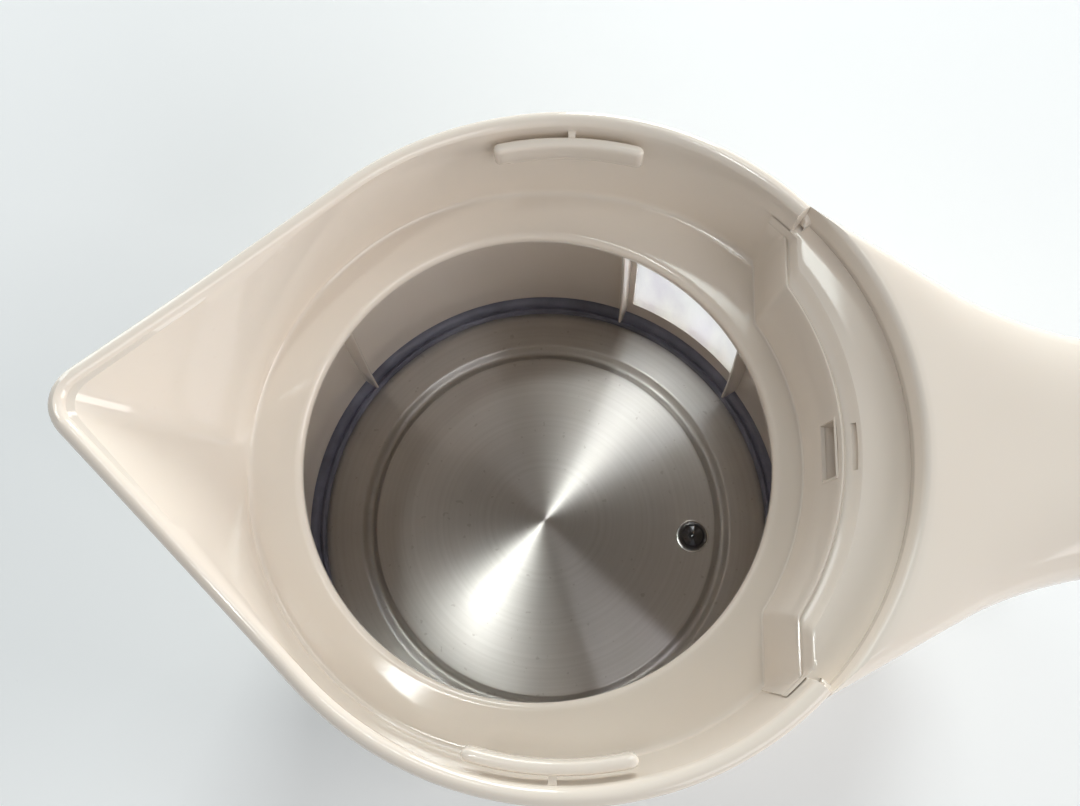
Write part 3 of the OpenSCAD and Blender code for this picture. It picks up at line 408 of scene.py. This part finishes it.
for name, side in (("left", 1), ("right", -1)):
    wall = rim_r - rim_wall - 0.1
    spread = math.degrees(lug_len / 2 / wall)
    rows = []
    near_end = [0.945, 0.975, 0.993, 1]
    for t in np.concatenate([np.negative(near_end[::-1]), np.linspace(-0.9, 0.9, 19), near_end]):
        pinch = math.sqrt(max(0.0, 1 - max(0.0, (abs(t) - 1 + lug_end) / lug_end) ** 2)) * 0.94 + 0.06
        a = side * 90 + t * spread
        ring = []
        for k in range(24):
            c, s = squared(math.radians(k * 15), 0.5)
            r = wall - lug_off - lug_t / 2 + c * lug_t / 2 * pinch
            z = lug_top - lug_h / 2 + s * lug_h / 2 * (0.7 + 0.3 * pinch)
            p = polar(a, r, z)
            ring.append((p[0] + rim_shift * 0.9, p[1], p[2]))
        rows.append(ring)
    lug = skin(f"lid_lug_{name}", rows, around=False, ends=True)
    dress(lug, cream)
    rib_ring = [(-0.75, wall - 2.0), (-0.6, wall - 0.9), (-0.8, wall + 0.6),
                (0.8, wall + 0.6), (0.6, wall - 0.9), (0.75, wall - 2.0)]
    rows = [[(rim_shift + x, side * y, z) for x, y in rib_ring]
            for z in (lug_top - lug_h, lug_top - 1.2, lug_top - 0.5)]
    rib = skin(f"lid_lug_rib_{name}", rows, around=False, ends=True)
    dress(rib, cream)


# ---- Steam guide behind the mouth ----
# A second cream moulding that clips behind the mouth. Its front wall has the steam slot, and
# its shelf takes the rear tab of the lid. Steam goes through it down the handle to the switch.
guide_end, shelf_z = 44.9, 148.66
# Heights up its front, each with the radius of the round part and how far off the flat ends are
guide_profile = [(130.1, 49.0, 40.8), (130.3, 49.35, 41.15), (131.0, 49.5, 41.3), (135, 50.0, 41.8),
                 (140, 50.7, 42.4), (144.5, 51.4, 43.0), (145.7, 51.6, 43.2), (146.1, 51.75, 43.35),
                 (146.15, 52.0, 43.6), (145.8, 52.25, 43.8), (146.0, 52.7, 44.1), (147.2, 53.6, 44.5),
                 (148.2, 54.1, 44.75), (148.5, 54.35, 44.95), (148.62, 54.9, 45.4)]


def guide_front(a, round_r, flat):
    """Smooth outline of a round front that turns into a flat one near the neck's wall."""
    flat_r, blend = flat / math.cos(math.radians(a)), 0.7
    t = min(1.0, max(0.0, 0.5 + 0.5 * (flat_r - round_r) / blend))
    return mix(round_r, flat_r, t) + blend * t * (1 - t) * 0.5


rows = []
guide_turns = [np.linspace(-guide_end, guide_end, 120), np.negative(notch_edges), notch_edges]
for a in np.unique(np.concatenate(guide_turns)):
    wall = neck_inside(a, 140) - 0.06
    back = neck_outside(a, rim_z) + 0.14 if abs(a) < notch_half else wall
    line = [(min(guide_front(a, r, x), wall - 0.02 * n), z)
            for n, (z, r, x) in enumerate(guide_profile[::-1])][::-1]
    front = line[-1][0]
    line += [(mix(front, back, t), shelf_z) for t in (0.2, 0.5, 0.8, 1.0)]
    line += [(back, 147.4), (min(wall, back - 0.01), 147.35), (wall - 0.02, 130.1)]
    rows.append([polar(a, r, z) for r, z in line])
guide = skin("steam_guide_block", rows, around=False, ends=True)


def cut(piece, *cutters):
    """Cuts the cutters' solids out of a piece and removes them."""
    for cutter in cutters:
        step = piece.modifiers.new("cut", "BOOLEAN")
        step.operation, step.solver, step.object = "DIFFERENCE", "EXACT", cutter
        depsgraph = bpy.context.evaluated_depsgraph_get()
        mesh = bpy.data.meshes.new_from_object(piece.evaluated_get(depsgraph))
        piece.modifiers.clear()
        piece.data = mesh
        bpy.data.objects.remove(cutter)


def block(name, low, high):
    """A closed block between two corners, in millimetres, as a cutter."""
    (x0, y0, z0), (x1, y1, z1) = low, high
    rows = [[(x0, y0, z), (x1, y0, z), (x1, y1, z), (x0, y1, z)] for z in (z0, z1)]
    return skin(name, rows, around=False, ends=True)


cut(guide, block("slot_cutter", (46, -4.9, 139.2), (57, 4.7, 144.4)),
    block("catch_cutter", (51, -4.4, 146.7), (54.3, 3.6, 147.7)))
dress(guide, cream, stands_for=["steam_guide"])

slot_corners = [(-5.5, 138.7), (5.3, 138.7), (5.3, 144.9), (-5.5, 144.9)]
rows = []
for y, z in slot_corners:
    inward = (0.6 if y < 0 else -0.6, 0.6 if z < 141 else -0.6)
    tilt = 50.35 + (z - 138) * 0.13
    rows.append([(tilt + back, y + inward[0] * share, z + inward[1] * share)
                 for back, share in ((0.0, 0.0), (-0.28, 0.3), (-0.28, 0.8), (0.4, 1.0))])
slot_frame = skin("steam_slot_frame", rows)
dress(slot_frame, cream)


# ---- Handle shell and finger-side liner ----
# Two cream mouldings: the shell wraps the back and sides and flows into the neck, and the
# softer liner closes the finger side between two seams. Screws through the liner hold both.
root_r, bend_r, grip_lean, housing_top, foot_x = 65.6, 27.0, 15.0, 44.0, 97.8
root_half, shoulder_half, grip_half = 40.2, 30.0, 15.5
root_thick, grip_thick, handle_wall = 13.6, 11.0, 2.4
narrow_over, thin_over, round_over, seam_r = 24.0, 30.0, 26.0, 61.8
shell_edge, wall_from, wall_full = 0.69, 64.0, 76.0
bridge_z = rim_z - root_thick - 0.4
lean, bend_turn = math.radians(grip_lean), 90 + grip_lean
bend_len = math.radians(bend_turn) * bend_r
bend_end_z = bridge_z - bend_r - bend_r * math.sin(lean)
grip_len = (bend_end_z - housing_top) / math.cos(lean)
bend_x = foot_x + grip_len * math.sin(lean) - bend_r * math.cos(lean)
bridge_len = bend_x - root_r
handle_len = bridge_len + bend_len + grip_len


def handle_outline(shares, half_w, half_t, power):
    """Points of a rounded section. A share is 0 at the middle of the handle's back and 1 at the
    middle of its finger side, evenly along the outline. Past 1 it comes up the other side."""
    y_c, n_c = half_w * 0.5 ** (power / 2), half_t * 0.5 ** (power / 2)
    across, down = np.linspace(0, y_c, 80), np.linspace(n_c, -n_c, 120)
    top = half_t * (1 - (across / half_w) ** (2 / power)) ** (power / 2)
    out = half_w * (1 - (np.abs(down) / half_t) ** (2 / power)) ** (power / 2)
    y = np.concatenate([across, out[1:-1], across[::-1]])
    n = np.concatenate([top, down[1:-1], -top[::-1]])
    along = np.concatenate([[0], np.cumsum(np.hypot(np.diff(y), np.diff(n)))])
    shares = np.asarray(shares)
    there = (1 - np.abs(1 - np.abs(shares))) * along[-1]
    side = np.where(np.abs(shares) > 1, -1, 1) * np.sign(shares + 1e-12)
    return np.interp(there, along, y) * side, np.interp(there, along, n)


def handle_section(s, shares):
    """A row of points round the handle at a distance along it."""
    power = mix(0.42, 0.62, ease(s / round_over))
    half_w = grip_half + (shoulder_half - grip_half) * math.exp(-s / narrow_over)
    half_t = grip_thick + (root_thick - grip_thick) * math.exp(-s / thin_over)
    turn = math.radians(min(1.0, max(0.0, (s - bridge_len) / bend_len)) * bend_turn)
    if s <= bridge_len:
        x, z = root_r + s, bridge_z
    elif s <= bridge_len + bend_len:
        x, z = bend_x + bend_r * math.sin(turn), bridge_z - bend_r + bend_r * math.cos(turn)
    else:
        on = handle_len - s
        x, z = foot_x + on * math.sin(lean), housing_top + on * math.cos(lean)
    y, n = handle_outline(shares, half_w, half_t, power)
    row = np.stack([x + n * math.sin(turn), y, z + n * math.cos(turn)], 1)
    if s >= handle_len:
        row[:, 0] -= (row[:, 2] - housing_top - 0.15) * math.tan(lean)
        row[:, 2] = housing_top + 0.15
    return row


def neck_ring(shares, inset, drop, edge=0.0, back=0.0):
    """The handle's edge where it lies on the neck. inset sinks its sides and its lower part
    into the neck's wall, drop lowers its top, and edge and back round its top edge."""
    row = []
    for y, n in zip(*handle_outline(shares, root_half, root_thick, 0.12)):
        z = bridge_z + n
        # top is 1 along the rim, where the edge turns a little further out to close on the neck
        top = ease((z - 150) / 3)
        turn = math.degrees(math.asin(y * (0.975 + 0.062 * top) / seam_r))
        clear = ease((notch_half - abs(turn)) / 9)
        r = neck_outside(turn, min(z, rim_z - 2)) + 0.12 - inset * (1 - top) + back * clear
        row.append(polar(turn, r, z + 0.2 * top * clear - (drop + edge) * top))
    return np.array(row)


stops = np.concatenate([np.linspace(6, bridge_len, 12),
                        np.linspace(bridge_len, bridge_len + bend_len, 30)[1:],
                        np.linspace(bridge_len + bend_len, handle_len, 24)[1:]])


def handle_rows(shares):
    """Rows of points from the neck over the bend down to the handle's foot."""
    start, first = neck_ring(shares, 0, 0, 0, 1.1), handle_section(stops[0], shares)
    between = [mix(start, first, t) for t in (0.12, 0.28, 0.46, 0.64, 0.82)]
    return [start] + between + [handle_section(s, shares) for s in stops]


def thin_by_neck(piece):
    """Gives a piece of the handle its wall, which thins out where it lies on the neck."""
    full = piece.vertex_groups.new(name="wall")
    for vert in piece.data.vertices:
        out = math.hypot(vert.co.x, vert.co.y) * 1000
        full.add([vert.index], ease((out - wall_from) / (wall_full - wall_from)), "REPLACE")
    walls = piece.modifiers.new("wall", "SOLIDIFY")
    walls.thickness, walls.offset = handle_wall / 1000, -1
    walls.vertex_group, walls.thickness_vertex_group = "wall", 0.02


shell_shares = np.linspace(-shell_edge, shell_edge, 201)
rows = [neck_ring(shell_shares, 1.6, 7.2), neck_ring(shell_shares, 1.5, 4.0)]
rows += [neck_ring(shell_shares, 1.2 * math.cos(t), 0, 1.1 * (1 - math.sin(t)), 1.1 * (1 - math.cos(t)))
         for t in np.radians((0, 22.5, 45, 67.5))]
rows += handle_rows(shell_shares)
handle = skin("handle_back", rows, around=False, loop=False)
thin_by_neck(handle)
dress(handle, cream, stands_for=["handle_shell"])

soft_cream = finish("cream_plastic_soft", (233, 223, 207), (222, 210, 192), (0.34, 0.46), moulded,
                    {"Flow size": 30.0, "Peel size": 1400.0, "Dust": 0.4},
                    bump=0.15, depth=0.00006, IOR=1.49)
liner_shares = np.linspace(shell_edge + 0.01, 2 - shell_edge - 0.01, 45)
liner = skin("handle_liner", handle_rows(liner_shares), around=False, loop=False)
thin_by_neck(liner)
dress(liner, soft_cream, stands_for=["handle_inner"])


# ---- Switch housing at the handle's foot ----
# A hollow cream moulding screwed to the jug from inside. It closes the handle's lower end and
# has a slot for the lever and a window for the pilot lens in its rear face.
housing_low, housing_half, housing_wall, corner = 6.0, 16.5, 2.4, 7.0
housing_rear = foot_x + grip_thick / math.cos(lean)
pivot_x, pivot_z, lever_w, paddle_t = housing_rear - 11, housing_low + 18, 18.0, 4.6
lens_w, lens_h, slot_gap, lever_travel = 10.0, 5.0, 0.5, 3.45
lens_low = housing_top - housing_wall - 7.5


def housing_ring(inset, z, front=0.15):
    """Outline of the housing at a height, a distance inside its walls."""
    side, rear, bend = housing_half - inset, housing_rear - inset, max(corner - inset, 0.5)
    face = jug_foot + front
    reach = math.asin(side / face)
    middle_x, middle_y = rear - bend, side - bend
    quarter, front_x = np.radians(np.linspace(0, 90, 9)), face * math.cos(reach) + 4
    ring = [(face * math.cos(t), face * math.sin(t), z) for t in np.linspace(reach, -reach, 15)]
    ring += [(x, -side, z) for x in np.linspace(front_x, middle_x - 2, 5)]
    ring += [(middle_x + bend * math.sin(t), -middle_y - bend * math.cos(t), z) for t in quarter]
    ring += [(rear, y, z) for y in np.linspace(-middle_y + 1, middle_y - 1, 7)]
    ring += [(middle_x + bend * math.cos(t), middle_y + bend * math.sin(t), z) for t in quarter]
    ring += [(x, side, z) for x in np.linspace(middle_x - 2, front_x, 5)]
    return ring


edge_rows = [(1.8, 0.0), (1.1, 0.12), (0.55, 0.5), (0.15, 1.1), (0.0, 1.9)]
rows = [housing_ring(inset, housing_low + up) for inset, up in edge_rows]
rows += [housing_ring(0, z) for z in (14, 22, 30, 37)]
rows += [housing_ring(inset * 1.1, housing_top - up * 1.1) for inset, up in edge_rows[::-1]]
housing = skin("switch_housing_cover", rows, around=False, ends=True)
rows = [housing_ring(housing_wall, z, 0.15 + housing_wall)
        for z in (housing_low + housing_wall, housing_top - housing_wall)]
hollow = skin("hollow_cutter", rows, around=False, ends=True)
slot_half, slot_top = lever_w / 2 + slot_gap, pivot_z + paddle_t / 2 + slot_gap
slot_low = pivot_z - paddle_t / 2 - slot_gap - lever_travel
cut(housing, hollow,
    block("slot_cutter", (housing_rear - 4, -slot_half, slot_low), (housing_rear + 1, slot_half, slot_top)),
    block("lens_cutter", (housing_rear - 4, -lens_w / 2, lens_low),
          (housing_rear + 1, lens_w / 2, lens_low + lens_h)))
dress(housing, cream, stands_for=["switch_housing"])


# ---- Pilot lens ----
# A small clear red lens snapped into the housing above the lever. The lamp behind it glows
# while the water heats.
lens_red = finish("lens_red", (214, 60, 34), (190, 40, 24), (0.12, 0.2), moulded, {"Flow size": 300.0},
                  bump=0.1, depth=0.00005, Transmission_Weight=0.55, IOR=1.49, Coat_Weight=0.4)
rows = []
for x, shrink in ((-2.7, 0.2), (-0.1, 0.16), (0.15, 0.3), (0.42, 0.8), (0.55, 1.6), (0.6, 2.3)):
    ring = []
    for t in np.radians(np.arange(0, 360, 10)):
        c, s = squared(t, 0.35)
        ring.append((housing_rear + x, c * (lens_w / 2 - shrink),
                     lens_low + lens_h / 2 + s * (lens_h / 2 - shrink)))
    rows.append(ring)
lens = skin("pilot_lens_cap", rows, around=False, ends=True)
dress(lens, lens_red, stands_for=["pilot_lens"])


# ---- On and off lever ----
# One moulding in warm grey plastic that turns on a steel pin. Its paddle stands out of the
# slot and has three grip ridges, and its arm under the hub slides the trip rod.
lever_grey = finish("lever_plastic", (150, 140, 126), (134, 124, 110), (0.32, 0.42), moulded,
                    {"Flow size": 60.0, "Peel size": 1600.0, "Dust": 0.4}, bump=0.2, depth=0.00006)
paddle_end = housing_rear + 14 - pivot_x
first_ridge, ridge_step, ridge_h = 19.4, 2.0, 0.28
rows = []
for x in np.concatenate([np.linspace(2.5, 16, 10), np.linspace(16.4, paddle_end, 34)]):
    left = paddle_end - x
    tip = math.sqrt(max(0.0, 1 - max(0.0, 1 - left / 3.0) ** 2))
    half_t = (paddle_t / 2 + 0.5 * ease((x - 14) / 8)) * max(tip, 0.06)
    ridge = 0.0
    if first_ridge - ridge_step / 2 < x < paddle_end - 2:
        ridge = ridge_h * max(0.0, math.cos((x - first_ridge) / ridge_step * 2 * math.pi))
    dish = 0.5 * ease((x - 12) / 4) * ease(left / 4)
    half_w = lever_w / 2 - 1.6 * (1 - math.sqrt(max(0.0, 1 - max(0.0, 1 - left / 3.5) ** 2)))
    ring = []
    for t in np.radians(np.arange(0, 360, 9)):
        c, s = squared(t, 0.3)
        y, z = c * half_w, s * half_t
        if z > 0:
            z += (ridge - dish * (1 - (y / half_w) ** 2)) * min(1.0, z / half_t)
        ring.append((pivot_x + x, y, pivot_z + z))
    rows.append(ring)
paddle = skin("lever_paddle", rows, around=False, ends=True)
dress(paddle, lever_grey, body="lever", stands_for=["switch_lever"])

rows = [[(pivot_x + r * math.cos(t), y, pivot_z + r * math.sin(t))
         for t in np.radians(np.arange(0, 360, 7.5))]
        for r, y in ((1.55, -9), (3.6, -9), (4, -8.6), (4, 8.6), (3.6, 9), (1.55, 9))]
hub = skin("lever_hub", rows)
dress(hub, lever_grey, body="lever")
rows = [[(pivot_x + x, y, z) for x, y in ((-1, -2.5), (1, -2.5), (1, 2.5), (-1, 2.5))]
        for z in (pivot_z - 10.8, pivot_z - 10.2, pivot_z - 3.9)]
arm = skin("lever_arm", rows, around=False, ends=True)
dress(arm, lever_grey, body="lever")


# ---- Water windows ----
# Two clear panes welded into the jug's wall. Each is finely frosted, with faint streaks of
# scale, so that it glows where light comes through from outside.
frosted, start, end = effect_group("frosted", {"Streak size": 90.0})
where = node(frosted, "ShaderNodeTexCoord").outputs["Object"]
drawn_down = node(frosted, "ShaderNodeMapping", [("Vector", where), ("Scale", (1.0, 1.0, 0.15))])
streaks = spots(frosted, start.outputs["Streak size"], 5.0, drawn_down.outputs["Vector"])
frosted.links.new(ramp(frosted, streaks, 0.45, 0.72), end.inputs["Mask"])
frosted.links.new(spots(frosted, 1500.0, 2.0), end.inputs["Height"])
window_pane = finish("water_window", (253, 254, 254), (226, 222, 236), (0.7, 0.9), frosted,
                     bump=0.1, depth=0.00005, Transmission_Weight=1.0, IOR=1.30)
pane_gap = 0.15
pane_turns = np.linspace(window_from + pane_gap, window_to - pane_gap, 24)
pane_heights = np.linspace(window_z0 + pane_gap, window_z1 - pane_gap, 14)
for name, side in (("left", 1), ("right", -1)):
    rows = [[polar(side * a, jug_out(z) + 0.02, z) for z in pane_heights]
            + [polar(side * a, chamber_in(z) - 0.02, z) for z in pane_heights[::-1]] for a in pane_turns]
    pane = skin(f"window_pane_{name}", rows, around=False, ends=True)
    dress(pane, window_pane, stands_for=[f"water_window_{name}"])


# ---- Heating plate ----
# A disc of stainless steel, turned to a fine circular grain, with one pressed groove near its
# edge. It closes the chamber's bottom and is brazed to the heater beneath.
plate_z, plate_t, plate_r, groove_in, groove_w, groove_d = 39.0, 0.8, 63.5, 48.0, 3.2, 1.8
dome_at, dome_turn, dome_r, hole_r = 41.4, -4.5, 3.9, 3.2
dome_x, dome_y = dome_at * math.cos(math.radians(dome_turn)), dome_at * math.sin(math.radians(dome_turn))
turned, start, end = effect_group("turned", {"Ring size": 900.0, "Stain size": 60.0})
where = node(turned, "ShaderNodeTexCoord").outputs["Object"]
parts = node(turned, "ShaderNodeSeparateXYZ", [(0, where)])
flat_at = node(turned, "ShaderNodeCombineXYZ", [(0, parts.outputs[0]), (1, parts.outputs[1])]).outputs[0]
out = node(turned, "ShaderNodeVectorMath", [(0, flat_at)], operation="LENGTH").outputs["Value"]
finer = maths(turned, "MULTIPLY", out, start.outputs["Ring size"])
rings = node(turned, "ShaderNodeTexNoise", [("W", finer), ("Scale", 1.0), ("Detail", 3.0)],
             noise_dimensions="1D").outputs["Fac"]
stains = ramp(turned, spots(turned, start.outputs["Stain size"], 4.0), 0.5, 0.9)
pits = ramp(turned, spots(turned, 600.0, 1.0), 0.72, 0.76)
grain = maths(turned, "ADD", maths(turned, "MULTIPLY", rings, 0.5), maths(turned, "MULTIPLY", stains, 0.3))
turned.links.new(maths(turned, "MAXIMUM", grain, maths(turned, "MULTIPLY", pits, 0.8)), end.inputs["Mask"])
turned.links.new(rings, end.inputs["Height"])
turned_steel = finish("turned_steel", (198, 194, 189), (172, 166, 159), (0.27, 0.31), turned,
                      bump=0.08, depth=0.00002, Metallic=1.0, Anisotropic=1.0, Anisotropic_Rotation=0.25)
steel_tree = turned_steel.node_tree
around_axis = node(steel_tree, "ShaderNodeTangent", direction_type="RADIAL", axis="Z")
steel_tree.links.new(around_axis.outputs[0], steel_tree.nodes["Principled BSDF"].inputs["Tangent"])
profile = [(0.02, 0.0), (4, 0), (10, 0), (20, 0), (30, 0), (40, 0), (groove_in - 1.4, 0),
           (groove_in - 0.8, 0.0)]
for t in np.linspace(0, 1, 17):
    profile.append((groove_in - 0.6 + t * (groove_w + 1.2), -groove_d * math.sin(math.pi * t) ** 1.4))
profile += [(groove_in + groove_w + 1.0, 0.0), (55, 0), (60, 0), (plate_r - 0.3, 0), (plate_r, -0.15)]
profile += [(plate_r, -plate_t)] + [(r, z - plate_t) for r, z in profile[-4::-1]]
rows = [[polar(a, r, plate_z + z) for r, z in profile] for a in np.arange(0, 360, 1.25)]
plate = skin("turned_plate", rows, loop=False)
rows = [[(dome_x + hole_r * math.cos(t), dome_y + hole_r * math.sin(t), z)
         for t in np.radians(np.arange(0, 360, 10))] for z in (plate_z - 4, plate_z + 4)]
drill = skin("sensor_hole_cutter", rows, around=False, ends=True)
cut(plate, drill)
dress(plate, turned_steel, crease=60, stands_for=["heating_plate"])


# ---- Seal round the plate ----
# A ring of dark silicone rubber pressed between the plate and the jug's lip. Its top shows as
# a raised bead with a step, which catches a little light.
cast, start, end = effect_group("cast", {"Grain size": 1200.0, "Patch size": 80.0})
patches = ramp(cast, spots(cast, start.outputs["Patch size"], 3.0), 0.35, 0.7)
cast.links.new(patches, end.inputs["Mask"])
cast.links.new(spots(cast, start.outputs["Grain size"], 3.0), end.inputs["Height"])
seal_rubber = finish("seal_rubber", (120, 122, 138), (92, 92, 106), (0.35, 0.5), cast,
                     bump=0.2, depth=0.00004)
seal_in, seal_out, seal_low = lip_r - 3.4, seat_r - 0.15, 36.0
profile = [(seal_in, 39.05), (seal_in, 40.6), (seal_in + 0.15, 41.3), (seal_in + 0.5, 41.65),
           (seal_in + 0.95, 41.55), (seal_in + 1.15, 41.2), (seal_in + 1.3, 41.3), (seal_in + 1.6, 42.4),
           (seal_in + 2.1, 43.2), (lip_r - 0.5, 43.75), (seal_out, 43.85), (seal_out, seal_low),
           (seal_in, seal_low), (seal_in, 38.15), (63.6, 38.15), (63.6, 39.05)]
seal = skin("plate_seal_ring", [[polar(a, r, z) for r, z in profile] for a in np.arange(0, 360, 2)])
dress(seal, seal_rubber, stands_for=["plate_seal"])


# ---- Temperature sensor in the plate ----
# A small glossy dark dome on a stem through the plate, with a thin bright steel collar. A nut
# under the plate draws it down on its rubber seal.
sensor_black = finish("sensor_black", (26, 26, 30), (38, 36, 38), (0.06, 0.14), cast,
                      {"Grain size": 2500.0}, bump=0.03, depth=0.00002, Coat_Weight=0.6)


def dome_rows(profile):
    """Rows of points round the sensor's axis from distances and heights over the plate."""
    return [[(dome_x + r * math.cos(t), dome_y + r * math.sin(t), plate_z + z) for r, z in profile]
            for t in np.radians(np.arange(0, 360, 6))]


profile = [(0.02, -8.4), (2.4, -8.4), (2.4, 0.1), (dome_r - 0.3, 0.1), (dome_r - 0.05, 0.3)]
profile += [(dome_r * math.cos(t), 0.3 + 3.6 * math.sin(t))
            for t in np.radians([6, 15, 25, 35, 45, 55, 65, 75, 83])]
profile += [(0.02, 3.9)]
dome = skin("sensor_dome_cap", dome_rows(profile), loop=False)
dress(dome, sensor_black, stands_for=["sensor_dome"])
bright_steel = finish("bright_steel", (215, 214, 210), (180, 178, 172), (0.18, 0.32), cast,
                      {"Grain size": 3000.0}, bump=0.1, depth=0.00002, Metallic=1.0)
profile = [(dome_r + 0.02, 0.06), (dome_r + 0.5, 0.06), (dome_r + 0.62, 0.2), (dome_r + 0.5, 0.38),
           (dome_r + 0.15, 0.42), (dome_r + 0.02, 0.3)]
collar = skin("sensor_collar", dome_rows(profile))
dress(collar, bright_steel)


# ---- Base cover with its connector ----
# A cream disc screwed under the jug, with the black round socket of the cordless connector in
# its middle. Three brass contact rings stand in the socket.
def carry(material, *nodes):
    """Gives CAD nodes that stay as they are a material and softened edges."""
    for name in nodes:
        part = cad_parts[name]
        part.data.materials.clear()
        part.data.materials.append(material)
        soft = part.modifiers.new("edges", "BEVEL")
        soft.width, soft.segments, soft.angle_limit = 0.0002, 2, math.radians(40)


carry(soft_cream, "base_cover")
socket_black = finish("black_plastic", (34, 34, 38), (48, 46, 48), (0.35, 0.5), moulded, {"Dust": 0.5},
                      bump=0.3, depth=0.00005)
carry(socket_black, "connector_socket", "control_module", "steam_switch")
contact_brass = finish("contact_brass", (206, 170, 92), (168, 128, 62), (0.22, 0.4), cast,
                       {"Patch size": 200.0}, bump=0.1, depth=0.00002, Metallic=1.0)
carry(contact_brass, "connector_contacts", "element_tabs", "bimetal_discs", "steam_disc")


# ---- Screws ----
# Zinc plated self tapping screws with plain pan heads: under the base, through the handle's
# liner, into the control, and from inside the jug into the switch housing. The sensor's nut
# and the lever's pin are plated the same way.
zinc = finish("zinc_steel", (196, 198, 200), (160, 160, 158), (0.25, 0.42), cast, {"Patch size": 400.0},
              bump=0.15, depth=0.00002, Metallic=1.0)
carry(zinc, "base_screws", "handle_screws", "control_screws", "housing_screws", "sensor_nut", "lever_pin")


# ---- Heater and its mount, under the plate ----
# An aluminium plate brazed to the disc carries a sheathed heating element. A white ring and a
# split steel ring clamp the plate and its seal up into the jug. The trip rod and the toggle
# spring are made of the same white plastic and spring steel.
cast_aluminium = finish("cast_aluminium", (196, 196, 194), (150, 150, 150), (0.38, 0.6), cast,
                        bump=0.4, depth=0.0001, Metallic=1.0)
carry(cast_aluminium, "heat_spreader")
sheath = finish("element_sheath", (128, 122, 116), (92, 82, 76), (0.35, 0.6), cast,
                {"Patch size": 120.0}, bump=0.3, depth=0.00008, Metallic=1.0)
carry(sheath, "heating_element")
white_plastic = finish("white_plastic", (232, 232, 228), (214, 214, 208), (0.35, 0.45), moulded,
                       bump=0.1, depth=0.00005)
carry(white_plastic, "clamp_ring", "trip_rod")
spring_steel = finish("spring_steel", (160, 164, 170), (112, 116, 124), (0.25, 0.4), cast,
                      {"Patch size": 150.0}, bump=0.15, depth=0.00003, Metallic=1.0)
carry(spring_steel, "retaining_ring", "toggle_spring")
carry(seal_rubber, "sensor_seal")


# ---- Steam tube, lamp and wires ----
# A silicone tube brings steam down the handle to the bimetal disc of the steam switch. A small
# neon lamp stands behind the lens, and two sleeved wires go to the control.
silicone = finish("silicone_tube", (224, 224, 216), (204, 204, 194), (0.4, 0.55), cast,
                  bump=0.1, depth=0.00005, Subsurface_Weight=0.3)
carry(silicone, "steam_tube")
lamp_glass = finish("lamp_glass", (250, 226, 200), (240, 196, 160), (0.08, 0.14), moulded,
                    Transmission_Weight=0.8, IOR=1.45)
carry(lamp_glass, "pilot_lamp")
sleeve = finish("wire_sleeve", (196, 190, 176), (176, 168, 150), (0.5, 0.7), cast, bump=0.5, depth=0.0001)
carry(sleeve, "lamp_wires")
